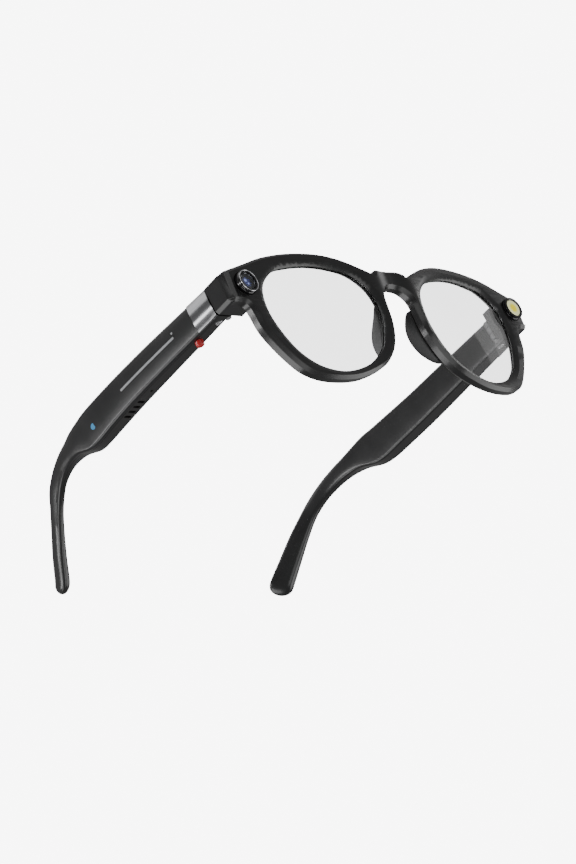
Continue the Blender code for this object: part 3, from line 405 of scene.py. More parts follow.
def end_block(side):
    """The end piece behind the corner of the front, bevelled where it turns back to the arm."""
    face = face_at(front_half_width) + rim_chamfer
    rings = []
    for y, outer in ((face, front_half_width - fit), (face + 0.0013, end_outer), (seam_y, end_outer)):
        section = ((end_inner, end_low), (outer - 0.0010, end_low), (outer, end_low + 0.0010),
                   (outer, end_high - 0.0004), (outer - 0.0004, end_high), (end_inner, end_high))
        rings.append([(side * x, y, z) for x, z in section])
    return skin("end_block", rings)


def channel_strip(name, width, near, far, steps=4):
    """A strip that follows the brow between two distances behind the front face."""
    marks = ((0.0, 9.4), (6.0, 9.2), (11.5, 5.9), (17.5, 10.4), (25.6, 16.2), (38.0, 21.2),
             (50.0, 22.4), (62.0, 21.4), (74.0, 18.0), (85.0, 12.2))
    half = open_line([on_front(*p) for p in marks], steps)
    line = [(-x, z) for x, z in reversed(half[1:])] + half
    rings = []
    for i, (x, z) in enumerate(line):
        along = Vector(line[min(i + 1, len(line) - 1)]) - Vector(line[max(i - 1, 0)])
        along.normalize()
        ring = []
        for sign, depth in ((-1, near), (1, near), (1, far), (-1, far)):
            px = x - sign * along.y * width / 2
            ring.append((px, face_at(px) + depth, z + sign * along.x * width / 2))
        rings.append(ring)
    return skin(name, rings)


def bevel_ring(side):
    """What the bevel round a lens takes away: widest at the front face."""
    rings = []
    for out, back in ((0.0026, -0.0003), (0.0020, 0.0), (0.0, 0.0007), (-0.0002, 0.0009)):
        loop = moved_out(hole_outline(side, 5), out)
        rings.append([(x, face_at(x) + back, z) for x, z in loop])
    return skin("lens_bevel", rings)


def optic_place(side, behind):
    """Stands a piece turned about Z on the camera's or the light's axis, facing forwards."""
    place = Matrix.Translation((side * optic_x, face_at(optic_x) + behind, 0))
    return upright @ place @ Matrix.Rotation(math.radians(90), 4, "X")


def build_front():
    holes = [hole_outline(side, 5) for _, side in sides]
    mesh = front_plate("front_moulding", [front_outline(5), *holes], rim_depth, 0, rim_chamfer)
    front = put("front_moulding", mesh, upright, "front", front_black)
    carve(front, [put("end_block", end_block(side), level) for _, side in sides], "UNION")
    cutters = [
        put("cover_seat", channel_strip("cover_seat", 0.0030, rim_depth - 0.0009, rim_depth + 0.0013),
            upright),
        put("flex_channel", channel_strip("flex_channel", 0.0016, rim_depth - 0.0020, rim_depth), upright),
    ]
    for _, side in sides:
        groove = front_plate("groove", [moved_out(hole_outline(side, 5), lens_groove)],
                             lens_thickness + 2 * lens_play, lens_setback - lens_play)
        low = (side * (end_inner + end_wall), pocket_front, end_low + end_wall)
        high = (side * (end_outer - end_wall), seam_y + end_wall, end_high - end_wall)
        bore = rod("optic_bore", bezel_radius + 0.0002, 2 * (pocket_front - face_at(optic_x) + fit), 64)
        cutters += [
            put("lens_groove", groove, upright),
            put("lens_bevel", bevel_ring(side), upright),
            put("end_pocket", box("end_pocket", low, high), level),
            put("optic_bore", bore, optic_place(side, 0)),
        ]
    carve(front, cutters)
    soften(front, 0.00016)
    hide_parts("front_frame")


build_front()


# ---------------------------------------------------------------- brow cover and flex
# A flexible circuit crosses the front in a channel behind the brow, from the camera to the light.
# A thin moulded strip, glued in, closes the channel along the whole back of the brow.


def repaint(name, finish):
    """Gives a carried-over piece its finish."""
    piece = nodes[name]
    piece.data.materials.clear()
    piece.data.materials.append(finish)


cover_black = moulded("cover_black", (0.010, 0.010, 0.0105), (0.015, 0.015, 0.0155), 0.36, 0.46,
                      grain=2600.0, bump=0.000014)
cover = put("brow_strip", channel_strip("brow_strip", 0.0024, rim_depth - fit, rim_depth, 8), upright,
            "front", cover_black)
soften(cover, 0.00008)
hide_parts("brow_cover")


def laminated_film():
    """Amber film over copper tracks that run along it."""
    finish, tree, shader = new_finish("laminated_film", Roughness=0.32, Coat_Weight=0.3)
    spot = fixed_to_piece(tree)
    tracks = node(tree, "TexWave", {"bands_direction": "Z"}, Vector=spot, Scale=900.0, Distortion=0.4)
    colour = ramp(tree, tracks.outputs["Fac"], (0.30, 0.11, 0.015), (0.52, 0.24, 0.06))
    feed(shader, Base_Color=colour)
    emboss(tree, shader, tracks.outputs["Fac"], 0.00002, 0.5)
    return finish


repaint("brow_flex", laminated_film())


# ---------------------------------------------------------------- lenses
# Two clear plastic lenses, ground to the rim's outline and slightly domed. Each snaps into the
# groove inside its rim, and is polished and coated on both faces.

lens_dome = 0.0007


def lens_mesh(side):
    rim = moved_out(hole_outline(side, 5), lens_groove - 0.0002)
    middle = Vector((side * (hole_low_x + hole_high_x) / 2, (hole_low_z + hole_high_z) / 2))
    rings = []
    shares = [0.04 + 0.96 * k / 12 for k in range(13)]
    for depth, order in ((lens_setback, shares), (lens_setback + lens_thickness, shares[::-1])):
        for share in order:
            ring = []
            for point in rim:
                x, z = middle + (Vector(point) - middle) * share
                dome = lens_dome * (1 - share * share)
                ring.append((x, face_at(x) + depth - dome, z))
            rings.append(ring)
    return skin("lens", rings)


def polished_lens():
    """Clear lens plastic with faint smears on its polished faces and a matt ground edge, coloured near black
    as painted shade for the rim's groove.
    """
    finish, tree, shader = new_finish("polished_lens", Transmission_Weight=1.0, IOR=1.49)
    spot = fixed_to_piece(tree)
    smear = node(tree, "TexNoise", None, Vector=spot, Scale=55.0, Detail=5.0, Roughness=0.65)
    mask = node(tree, "MapRange", None, Value=smear.outputs["Fac"], From_Min=0.5, From_Max=0.8)
    facing = node(tree, "SeparateXYZ", None, Vector=node(tree, "TexCoord").outputs["Normal"]).outputs["Y"]
    flat = node(tree, "Math", {"operation": "ABSOLUTE"}, _0=facing)
    ground_edge_and_shade = node(tree, "MapRange", None, Value=flat.outputs[0], From_Min=0.7, From_Max=0.4)
    # Painted shade: the ground edge is coloured near black where the rim's groove shades it; its matt
    # roughness is real.
    feed(shader, Base_Color=ramp(tree, ground_edge_and_shade.outputs[0], (0.985, 0.99, 0.992), (0.02, 0.02, 0.02)))
    rough = node(tree, "Math", {"operation": "MAXIMUM"}, _0=ramp(tree, mask.outputs[0], 0.0, 0.035),
                 _1=ramp(tree, ground_edge_and_shade.outputs[0], 0.0, 0.8))
    feed(shader, Roughness=rough.outputs[0])
    return finish


lens_clear = polished_lens()
for name, side in sides:
    lens = put(f"polished_lens_{name}", lens_mesh(side), upright, "front", lens_clear)
    shade(lens, 50)
    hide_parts(f"lens_{name}")


# ---------------------------------------------------------------- nose pads
# Soft silicone pads, pushed on behind the nose side of each rim. Each flares out as it goes back,
# so that it lies along the side of the nose.

pad_seated = 0.0006
pad_rings = (
    (-0.0055, 0.0072, 0.0080, 0.0012),
    (-0.0080, 0.0071, 0.0078, 0.0032),
    (-0.0110, 0.0073, 0.0083, 0.0056),
    (-0.0150, 0.0079, 0.0098, 0.0064),
    (-0.0190, 0.0091, 0.0113, 0.0056),
    (-0.0225, 0.0110, 0.0129, 0.0036),
    (-0.0250, 0.0128, 0.0146, 0.0014),
)
pad_black = moulded("pad_black", (0.009, 0.009, 0.0095), (0.014, 0.014, 0.0145), 0.42, 0.56,
                    grain=1800.0, bump=0.00002, Sheen_Weight=0.08)


def pad_mesh(side):
    rings = []
    for up, edge_x, ridge_x, reach in pad_rings:
        line = ((edge_x + 0.0003, 0.0), (edge_x + 0.0003, 0.2), (ridge_x - 0.0015, 0.74), (ridge_x, 1.04),
                (ridge_x + 0.0017, 0.78), (edge_x + 0.0036, 0.2), (edge_x + 0.0036, 0.0))
        seat = rim_depth - pad_seated
        rings.append([(side * x, face_at(x) + seat + share * (reach + pad_seated), up) for x, share in line])
    return skin("nose_pad", rings)


for name, side in sides:
    pad = put(f"silicone_pad_{name}", pad_mesh(side), upright, "front", pad_black)
    rounding = pad.modifiers.new("rounding", "SUBSURF")
    rounding.levels = 3
    rounding.render_levels = 3
    bake(pad)
    shade(pad, 60)
    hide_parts(f"nose_pad_{name}")


# ---------------------------------------------------------------- camera
# A turned black collar stands out of the right end piece with a bright trim ring on its edge.
# Inside are a cover glass and, close behind it, a dark lens with a blue middle and two painted highlights,
# pale spots that glow in place of its reflections. A baffle and the sensor's board are behind that.


def turned(name, profile, count=72):
    """A ring or disc turned about Z from a closed (radius, height) profile clear of the axis."""
    rings = []
    for i in range(count):
        angle = 2 * math.pi * i / count
        rings.append([(r * math.cos(angle), r * math.sin(angle), z) for r, z in profile])
    return skin(name, rings, closed=True)


def capped(name, profile, count=72):
    """A solid turned about Z, from its back face to its front face, closed at both."""
    rings = []
    for r, z in profile:
        turns = [2 * math.pi * i / count for i in range(count)]
        rings.append([(r * math.cos(angle), r * math.sin(angle), z) for angle in turns])
    return skin(name, rings)


bezel_wall, bezel_length, bezel_proud = 0.0010, 0.0040, 0.0018
collar_black = moulded("collar_black", (0.005, 0.005, 0.0055), (0.008, 0.008, 0.009), 0.10, 0.16,
                       grain=5000.0, bump=0.000002, Coat_Weight=0.2, Coat_Roughness=0.05)


def turned_metal(name, dark, light, smooth, rough, lines=2600.0, **constants):
    """Turned or brushed metal with fine lines and a varying polish."""
    finish, tree, shader = new_finish(name, Metallic=1.0, **constants)
    spot = fixed_to_piece(tree)
    drawn = node(tree, "Mapping", None, Vector=spot, Scale=(0.06, 1.0, 1.0))
    brushed = node(tree, "TexNoise", None, Vector=drawn.outputs[0], Scale=lines, Detail=3.0)
    feed(shader, Base_Color=ramp(tree, brushed.outputs["Fac"], dark, light),
         Roughness=ramp(tree, brushed.outputs["Fac"], smooth, rough))
    emboss(tree, shader, brushed.outputs["Fac"], 0.000004, 0.4)
    return finish


bright_trim = turned_metal("bright_trim", (0.55, 0.55, 0.57), (0.80, 0.80, 0.82), 0.10, 0.22)


def collar_profile(lip):
    """The collar's section, with a step near its front edge."""
    outer, inner = bezel_radius, bezel_radius - bezel_wall
    front = bezel_length
    return (
        (inner, 0), (outer, 0), (outer, front - 0.0012), (outer - 0.0002, front - 0.00105),
        (outer - 0.0002, front - 0.0008), (outer, front - 0.00065), (outer, front - 0.0003),
        (outer - 0.0001, front - 0.0001), (outer - 0.0003, front), (inner + lip, front),
        (inner, front - 0.0003),
    )


collar_back = bezel_length - bezel_proud
collar = put("camera_collar", turned("camera_collar", collar_profile(0.0001)), optic_place(-1, collar_back),
             "front", collar_black)
shade(collar, 30)
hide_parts("camera_bezel")
trim_profile = [(bezel_radius - 0.00028 + 0.00017 * math.cos(a), bezel_length + 0.00017 * math.sin(a))
                for a in (math.radians(30 * k) for k in range(12))]
trim = put("camera_trim_ring", turned("camera_trim_ring", trim_profile), optic_place(-1, collar_back),
           "front", bright_trim)
shade(trim, 60)

cover_glass, tree, shader = new_finish("cover_glass", Transmission_Weight=1.0, IOR=1.5,
                                       Base_Color=(0.86, 0.88, 0.95, 1))
bloom = node(tree, "TexNoise", None, Vector=fixed_to_piece(tree), Scale=400.0)
feed(shader, Roughness=ramp(tree, bloom.outputs["Fac"], 0.0, 0.03))


def domed_disc(name, radius, thickness, dome, steps=6):
    """A disc with a slightly domed front face."""
    profile = [(radius * 0.05, 0), (radius, 0)]
    for k in range(steps + 1):
        share = 1 - 0.95 * k / steps
        profile.append((radius * share, thickness + dome * (1 - share * share)))
    return capped(name, profile)


glass_radius = bezel_radius - bezel_wall - 0.0001
window = put("camera_cover_glass", domed_disc("camera_cover_glass", glass_radius, 0.0006, 0.00015),
             optic_place(-1, 0.0010 - bezel_proud), "front", cover_glass)
shade(window, 40)
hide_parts("camera_window")


def radial(name, side, behind, stops, roughness=0.1, painted_glints=(), painted_glow=False, **constants):
    """A finish whose colour changes with the distance from the optic's axis. Painted glints add pale spots
    of emission that stand in for reflections on the lens, and painted glow makes the colours themselves glow
    as painted brightness.
    """
    finish, tree, shader = new_finish(name, **constants)
    place = optic_place(side, behind)
    spot = fixed_to_piece(tree)

    def distance(point):
        offset = node(tree, "VectorMath", {"operation": "SUBTRACT"}, _0=spot, _1=point)
        return node(tree, "VectorMath", {"operation": "LENGTH"}, _0=offset.outputs[0]).outputs["Value"]

    share = node(tree, "MapRange", None, Value=distance(place.translation), From_Max=0.0030)
    colours = node(tree, "ValToRGB", None, Fac=share.outputs[0])
    while len(colours.color_ramp.elements) < len(stops):
        colours.color_ramp.elements.new(1.0)
    for element, (position, colour) in zip(colours.color_ramp.elements, stops):
        element.position = position
        element.color = (*colour, 1)
    feed(shader, Base_Color=colours.outputs[0])
    # Painted glow: the colours are emitted too, so the piece looks lit without a lamp.
    if painted_glow:
        feed(shader, Emission_Color=colours.outputs[0])
    painted_glint_mask = None
    # Painted highlights: each glint is a pale blue spot of emission standing in for a reflection.
    for x, y, size in painted_glints:
        reach = distance(place @ Vector((x, y, 0)))
        painted_glint = node(tree, "MapRange", None, Value=reach, From_Min=size, From_Max=size * 0.3)
        painted_glint_mask = painted_glint if painted_glint_mask is None else node(tree, "Math", {"operation": "MAXIMUM"},
                                                   _0=painted_glint_mask.outputs[0], _1=painted_glint.outputs[0])
    if painted_glint_mask:
        painted_glint_colour = ramp(tree, painted_glint_mask.outputs[0], (0.0, 0.0, 0.0), (0.45, 0.55, 1.0))
        feed(shader, Emission_Color=painted_glint_colour)
    grain = node(tree, "TexNoise", None, Vector=spot, Scale=2500.0)
    feed(shader, Roughness=ramp(tree, grain.outputs["Fac"], roughness, roughness * 1.4))
    return finish


baffle_black = moulded("baffle_black", (0.006, 0.006, 0.007), (0.010, 0.010, 0.012), 0.35, 0.5)
baffle_profile = (
    (0.00200, -0.0030), (0.00260, -0.0030), (0.00285, 0.0), (0.00278, 0.0003), (0.00250, 0.0003),
    (0.00225, 0.0), (0.00200, -0.0006),
)
baffle = put("camera_baffle", turned("camera_baffle", baffle_profile), optic_place(-1, 0.0026 - bezel_proud),
             "front", baffle_black)
shade(baffle, 30)
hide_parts("camera_module")
eye_behind = 0.0020 - bezel_proud
# Painted highlights: the two glints are pale blue emission spots standing in for reflections on the lens.
eye_blue = radial("eye_blue", -1, eye_behind - 0.0006,
                  ((0.0, (0.09, 0.13, 0.60)), (0.32, (0.05, 0.08, 0.46)), (0.44, (0.012, 0.020, 0.14)),
                   (0.50, (0.05, 0.07, 0.34)), (0.60, (0.008, 0.010, 0.04)), (0.76, (0.004, 0.004, 0.008))),
                  0.05,
                  painted_glints=((-0.00045, 0.00055, 0.00070), (0.00045, -0.00055, 0.00050)),
                  Coat_Weight=1.0, Coat_Roughness=0.02, Metallic=0.2, Emission_Strength=0.9)
eye = put("camera_eye", domed_disc("camera_eye", glass_radius - 0.0001, 0.0004, 0.0003, 10),
          optic_place(-1, eye_behind), "front", eye_blue)
shade(eye, 50)


def printed_board(name):
    """Green solder mask over tracks, with tinned pads."""
    finish, tree, shader = new_finish(name, Coat_Weight=0.3)
    spot = fixed_to_piece(tree)
    tracks = node(tree, "TexBrick", {"offset": 0.5}, Vector=spot, Scale=650.0, Mortar_Size=0.05)
    tracks.inputs["Color1"].default_value = (0.004, 0.060, 0.026, 1)
    tracks.inputs["Color2"].default_value = (0.006, 0.085, 0.036, 1)
    tracks.inputs["Mortar"].default_value = (0.015, 0.150, 0.065, 1)
    cells = node(tree, "TexVoronoi", None, Vector=spot, Scale=700.0)
    pads = node(tree, "MapRange", None, Value=cells.outputs["Distance"], From_Min=0.16, From_Max=0.14)
    tinned = node(tree, "Mix", {"data_type": "RGBA"}, _0=pads.outputs[0], _6=tracks.outputs["Color"],
                  _7=(0.55, 0.55, 0.52, 1))
    feed(shader, Base_Color=tinned.outputs[2], Metallic=pads.outputs[0],
         Roughness=ramp(tree, pads.outputs[0], 0.35, 0.25))
    emboss(tree, shader, tracks.outputs["Fac"], 0.00003, 0.5)
    return finish


green_board = printed_board("green_board")
repaint("camera_board", green_board)


# ---------------------------------------------------------------- light
# The left end piece carries the light in a collar like the camera's. A pale disc with a yellow phosphor in
# the middle lies just inside the collar, over a white cup and the emitter's board. The disc also glows
# faintly in its own colours: painted brightness, not a working lamp.

light_collar = put("light_collar", turned("light_collar", collar_profile(0.0003)),
                   optic_place(1, collar_back), "front", collar_black)
shade(light_collar, 30)
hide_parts("light_bezel")

# Painted glow: the disc emits its own colours so that it looks bright.
phosphor = radial("phosphor_disc", 1, -bezel_proud,
                  ((0.0, (0.84, 0.66, 0.0)), (0.34, (0.84, 0.70, 0.0)), (0.50, (0.80, 0.76, 0.10)),
                   (0.64, (0.80, 0.80, 0.36)), (1.0, (0.82, 0.84, 0.52))), 0.4, painted_glow=True,
                  Coat_Weight=0.1, Coat_Roughness=0.2, Emission_Strength=0.5)


def ridged_disc(name, radius, thickness, ridges=5):
    """A disc whose front face has fine concentric ridges."""
    profile = [(radius * 0.04, 0), (radius, 0), (radius, thickness)]
    for k in range(ridges):
        outer = radius * (0.94 - 0.17 * k)
        profile += [(outer, thickness + 0.00006), (outer - radius * 0.13, thickness)]
    profile.append((radius * 0.04, thickness + 0.00008))
    return capped(name, profile)


disc = put("light_disc", ridged_disc("light_disc", glass_radius, 0.0006),
           optic_place(1, 0.0010 - bezel_proud), "front", phosphor)
shade(disc, 25)
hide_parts("light_window")

cup_white = moulded("cup_white", (0.80, 0.80, 0.77), (0.88, 0.88, 0.86), 0.18, 0.30, grain=2500.0)
cup_profile = ((0.00096, 0), (0.00136, 0), (0.00275, 0.0024), (0.00275, 0.0028), (0.00235, 0.0028),
               (0.00200, 0.0021), (0.00150, 0.0011))
cup = put("light_cup", turned("light_cup", cup_profile), optic_place(1, 0.0045 - bezel_proud),
          "front", cup_white)
shade(cup, 30)
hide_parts("light_reflector")
repaint("light_emitter", moulded("phosphor_yellow", (0.80, 0.62, 0.04), (0.90, 0.74, 0.10), 0.35, 0.5,
                                 grain=2000.0))
repaint("light_board", green_board)


# ---------------------------------------------------------------- end covers and hinges
# A black cover closes the pocket in each end piece beside the hinge. The hinge is three steel
# knuckles on a screw: two on a leaf in the end piece and one on a leaf inside the arm.

leaf_steel = turned_metal("leaf_steel", (0.30, 0.30, 0.31), (0.48, 0.48, 0.49), 0.22, 0.40)
screw_steel = turned_metal("screw_steel", (0.50, 0.50, 0.51), (0.72, 0.72, 0.73), 0.14, 0.30)
for name, side in sides:
    repaint(f"end_cover_{name}", cover_black)
    repaint(f"hinge_leaf_front_{name}", leaf_steel)
    repaint(f"hinge_leaf_temple_{name}", leaf_steel)
    repaint(f"hinge_screw_{name}", screw_steel)


# ---------------------------------------------------------------- arm casings
# Each arm is two black mouldings that close on each other along a line near the outer face. The
# arm is deep where it holds the electronics, then turns down and in to a slim tip over the ear.

arm_length, arm_height, arm_wall = 0.1263, 0.0103, 0.0012
arm_start = seam_y + 2 * fit
outer_depth, shell_corner, face_crown, split_line = 0.0020, 0.0010, 0.00035, 0.00014
barrel_radius, screw_head = 0.0015, 0.0010
cavity_end = 0.0720
tip_round, tip_rings = 0.0034, 4
arm_marks = (
    (0.0, 53, 0.0, -47, 0.00, 6.65, 0.0, 0.0),
    (11.5, 57, 11.5, -48, 0.75, 7.30, 0.0, 0.0),
    (23.3, 61, 23.3, -49, 1.45, 7.80, 0.0, 0.0),
    (35.3, 64, 35.3, -50, 1.75, 8.00, 0.0, 0.0),
    (44.7, 68, 44.7, -51, 1.25, 7.80, 0.0, 0.0),
    (51.9, 71, 51.9, -52, 0.45, 7.30, 0.0, 0.0),
    (55.8, 71, 56.2, -44, -0.35, 7.20, 0.0, 0.0),
    (60.6, 66, 60.9, -18, -1.15, 6.80, 0.0, 0.0),
    (64.5, 61, 65.0, -7, -2.45, 5.80, 0.0, 0.0),
    (69.3, 55, 69.1, -6, -3.95, 4.90, 0.0, 0.0),
    (74.8, 40, 73.4, -16, -5.95, 4.00, 0.0, 0.2),
    (80.0, 12, 76.8, -32, -7.75, 3.60, 0.3, 0.9),
    (84.3, -27, 80.8, -61, -9.75, 3.30, 0.8, 2.1),
    (88.7, -72, 85.2, -109, -11.75, 3.30, 1.1, 3.4),
    (93.9, -129, 89.8, -165, -13.75, 3.70, 1.6, 4.1),
    (98.4, -181, 94.3, -223, -16.05, 3.90, 1.9, 4.5),
    (100.0, -204, 96.5, -245, -16.75, 3.10, 1.7, 3.9),
)

arm_black = moulded("arm_black", (0.0085, 0.0085, 0.009), (0.013, 0.013, 0.0135), 0.28, 0.36,
                    grain=3000.0, Coat_Weight=0.2, Coat_Roughness=0.15)


def arm_stations(steps):
    """Along the arm: top y and z, bottom y and z, outer x, thickness and the top edge's leans."""
    stations = []
    for top_along, top_up, low_along, low_up, bow, *widths in arm_marks:
        stations.append((
            arm_start + top_along / 100 * arm_length,
            top_up / 100 * arm_height,
            arm_start + low_along / 100 * arm_length,
            low_up / 100 * arm_height,
            end_outer + bow / 1000,
            *(width / 1000 for width in widths),
        ))
    return open_line(stations, steps)


def station_at(y):
    stations = arm_stations(4)
    for near, far in zip(stations, stations[1:]):
        if y <= far[0]:
            break
    share = (y - near[0]) / (far[0] - near[0])
    return tuple(a + (b - a) * share for a, b in zip(near, far))


def depth_at(thickness):
    return min(outer_depth, 0.45 * thickness)


def arm_ring(station, flat_x, round_x, corner, leans=(0.0, 0.0), crown=0.0):
    """A section with a flat side at the split and a rounded, slightly crowned side."""
    top, low = Vector(station[0:2]), Vector(station[2:4])
    height = (top - low).length
    rise = (top - low).normalized()
    sign = 1 if round_x > flat_x else -1
    arc = [math.radians(18 * k) for k in range(6)]
    lower = [(round_x - sign * (crown + corner * (1 - math.sin(a))), corner * (1 - math.cos(a)))
             for a in arc]
    face = [(round_x - sign * crown * (2 * t - 1) ** 2, height * t) for t in (0.22, 0.36, 0.5, 0.64, 0.78)]
    upper = [(x, height - up) for x, up in reversed(lower)]
    ring = []
    for x, up in [(flat_x, 0), *lower, *face, *upper, (flat_x, height)]:
        inner_share = (max(flat_x, round_x) - x) / abs(round_x - flat_x)
        lean = (leans[0] + (leans[1] - leans[0]) * inner_share) * up / height
        point = low + rise * up
        ring.append(Vector((x - lean, point.x, point.y)))
    return ring


def closed_tip(rings, middle, along):
    """Rounds off the end of the arm with rings that shrink towards its middle line."""
    last = rings[-1]
    for angle in (22, 42, 58, 70, 80, 86):
        share, ahead = math.cos(math.radians(angle)), tip_round * math.sin(math.radians(angle))
        rings.append([middle + (point - middle) * share + along * ahead for point in last])
    return rings


def shell_rings(outer_side, side):
    stations = arm_stations(5)[:-tip_rings]
    rings = []
    for station in stations:
        outer, thickness, *leans = station[4:]
        split = outer - depth_at(thickness)
        if outer_side:
            corner = min(shell_corner, depth_at(thickness) * 0.6)
            rings.append(arm_ring(station, split, outer, corner, (leans[0], leans[0]), face_crown))
        else:
            inner = outer - thickness
            flat = split - split_line
            corner = min(shell_corner, (flat - inner) * 0.6)
            rings.append(arm_ring(station, flat, inner, corner, leans, face_crown / 2))
    end, before = stations[-1], stations[-2]
    middle = Vector((end[4] - end[5] / 2 - (end[6] + end[7]) / 4,
                     (end[0] + end[2]) / 2, (end[1] + end[3]) / 2))
    along = Vector((0, end[0] + end[2] - before[0] - before[2], end[1] + end[3] - before[1] - before[3]))
    closed_tip(rings, middle, along.normalized())
    return [[(side * p.x, p.y, p.z) for p in ring] for ring in rings]


def plain_ring(station, low_x, high_x, inset, side):
    """A four-cornered section, as tall as the arm less an inset at top and bottom."""
    top, low = Vector(station[0:2]), Vector(station[2:4])
    rise = (top - low).normalized() * inset
    corners = ((low_x, low + rise), (high_x, low + rise), (high_x, top - rise), (low_x, top - rise))
    return [(side * x, point.x, point.y) for x, point in corners]


def cavity(side):
    rings = []
    for share in (0.0, 0.2, 0.4, 0.6, 0.8, 1.0):
        station = station_at(arm_start + arm_wall + share * (cavity_end - arm_wall))
        rings.append(plain_ring(station, station[4] - station[5] + arm_wall, station[4], arm_wall, side))
    return skin("cavity", rings)


band_length, band_thickness = 0.0090, 0.0006


def band_recess(side):
    rings = []
    for y in (arm_start - 0.0005, arm_start + band_length / 2, arm_start + band_length + 0.00012):
        station = station_at(y)
        low_x = station[4] - band_thickness - 0.0001
        rings.append(plain_ring(station, low_x, station[4] + 0.001, -0.001, side))
    return skin("band_recess", rings)


def underside(from_seam, side, inset=None):
    """A point on the arm's underside, in the middle of the room inside or an inset from outside."""
    station = station_at(arm_start + from_seam)
    outer, thickness = station[4:6]
    middle = (thickness - arm_wall + depth_at(thickness)) / 2
    return Vector((side * (outer - (middle if inset is None else inset)), arm_start + from_seam, station[3]))


def drilled(name, radius, from_seam, side, inset=None, depth=0.0027):
    place = level @ Matrix.Translation(underside(from_seam, side, inset))
    return put(name, rod(name, radius, depth, 32), place)


def wall_inside(y):
    """The inner face of the wall that stands between the hinge and the room in the arm."""
    station = station_at(y)
    return station[4] - station[5] + arm_wall + fit


strip_start, strip_length, strip_height = 0.0182, 0.0282, 0.0008
button_along, button_radius = 0.0131, 0.0015
speaker_start, slot_pitch = 0.0430, 0.0026


def strip_room(side, gap):
    """The slot for the touch strip, or the strip itself when the gap is nothing."""
    rings = []
    for share in (0.0, 0.25, 0.5, 0.75, 1.0):
        station = station_at(arm_start + strip_start + share * strip_length)
        y = arm_start + strip_start + share * strip_length + gap * math.copysign(1, share - 0.5) * 1.5
        middle = (station[1] + station[3]) / 2
        half = strip_height / 2 + gap
        low, high = station[4] - outer_depth - (fit if gap else 0), station[4] + (0.0004 if gap else 0.00004)
        corners = ((low, -half), (high, -half), (high, half), (low, half))
        rings.append([(side * x, y, middle + up) for x, up in corners])
    return skin("strip", rings)


def status_point(side):
    station = station_at(arm_start + strip_start)
    up = (station[1] + station[3]) / 2 + 0.0012 + strip_height / 2
    return Matrix.Translation((side * (station[4] - outer_depth / 2), arm_start + strip_start, up))


def build_arm(name, side):
    body = f"{name}_temple"
    outer = put(f"outer_casing_{name}", skin("outer", shell_rings(True, side)), level, body, arm_black)
    cutters = [put("band_recess", band_recess(side), level)]
    if name == "right":
        dot = rod("dot", 0.00050, 0.005, 24)
        cutters.append(put("strip_room", strip_room(side, 0.00008), level))
        cutters.append(put("dot", dot, level @ status_point(side) @ Matrix.Rotation(math.pi / 2, 4, "Y")))
    carve(outer, cutters)
    soften(outer, 0.00010)
    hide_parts(f"outer_shell_{name}")

    inner = put(f"inner_casing_{name}", skin("inner", shell_rings(False, side)), level, body, arm_black)
    axis = Matrix.Translation((side * hinge_x, hinge_y, end_middle))
    slot_low = (side * hinge_x, hinge_y - barrel_radius - fit, end_middle - 0.0015)
    slot_high = (side * wall_inside(hinge_y), hinge_y + barrel_radius + fit, end_middle + 0.0015)
    cutters = [
        put("cavity", cavity(side), level),
        put("barrel_room", rod("barrel_room", barrel_radius + fit, 0.0084), level @ axis),
        put("leaf_slot", box("leaf_slot", slot_low, slot_high), level),
        drilled("fixing_hole", screw_head * 1.3 + 0.0001, 0.0036, side, 0.0047),
    ]
    if name == "right":
        cutters.append(drilled("button_hole", button_radius + 0.00012, button_along, side))
        cutters.append(drilled("microphone_hole", 0.0005, 0.0385, side))
        for i in range(4):
            middle = underside(speaker_start + slot_pitch * (i + 0.5), side)
            slot = rounded_slot(f"slot_{i}")
            cutters.append(put(f"slot_{i}", slot, level @ Matrix.Translation(middle)))
    carve(inner, cutters)
    soften(inner, 0.00008)
    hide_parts(f"inner_shell_{name}")


def rounded_slot(name, length=0.0030, width=0.0011):
    """A slot with round ends that runs across the arm."""
    reach = (length - width) / 2
    outline = corner_arc((reach, 0), width / 2, -90, 90, 8) + corner_arc((-reach, 0), width / 2, 90, 270, 8)
    return plate(name, [outline], 0.0028)


for name, side in sides:
    build_arm(name, side)


# ---------------------------------------------------------------- silver bands
# A thin brushed aluminium cap is glued into a recess at the front of each arm's outer face. It
# follows the arm's rounded edges, arches across its height and is level with the plastic.

def brushed_arch():
    """Brushed aluminium with a rolled arch across it, so that it shades from edge to edge."""
    finish, tree, shader = new_finish("brushed_arch", Metallic=1.0, Anisotropic=0.5)
    spot = fixed_to_piece(tree)
    drawn = node(tree, "Mapping", None, Vector=spot, Scale=(1.0, 0.05, 1.0))
    brushed = node(tree, "TexNoise", None, Vector=drawn.outputs[0], Scale=2200.0, Detail=3.0)
    feed(shader, Base_Color=ramp(tree, brushed.outputs["Fac"], (0.24, 0.24, 0.25), (0.34, 0.34, 0.35)),
         Roughness=ramp(tree, brushed.outputs["Fac"], 0.20, 0.30))
    height = node(tree, "SeparateXYZ", None, Vector=spot).outputs["Z"]
    above = node(tree, "Math", {"operation": "SUBTRACT"}, _0=height, _1=datum.z + end_middle)
    squared = node(tree, "Math", {"operation": "MULTIPLY"}, _0=above.outputs[0], _1=above.outputs[0])
    arch = node(tree, "Math", {"operation": "MULTIPLY"}, _0=squared.outputs[0], _1=-48.0)
    rolled = node(tree, "Bump", None, Height=arch.outputs[0], Distance=1.0, Strength=1.0)
    fine = node(tree, "Bump", None, Height=brushed.outputs["Fac"], Distance=0.000004, Strength=0.4,
                Normal=rolled.outputs[0])
    feed(shader, Normal=fine.outputs[0])
    return finish


band_metal = brushed_arch()


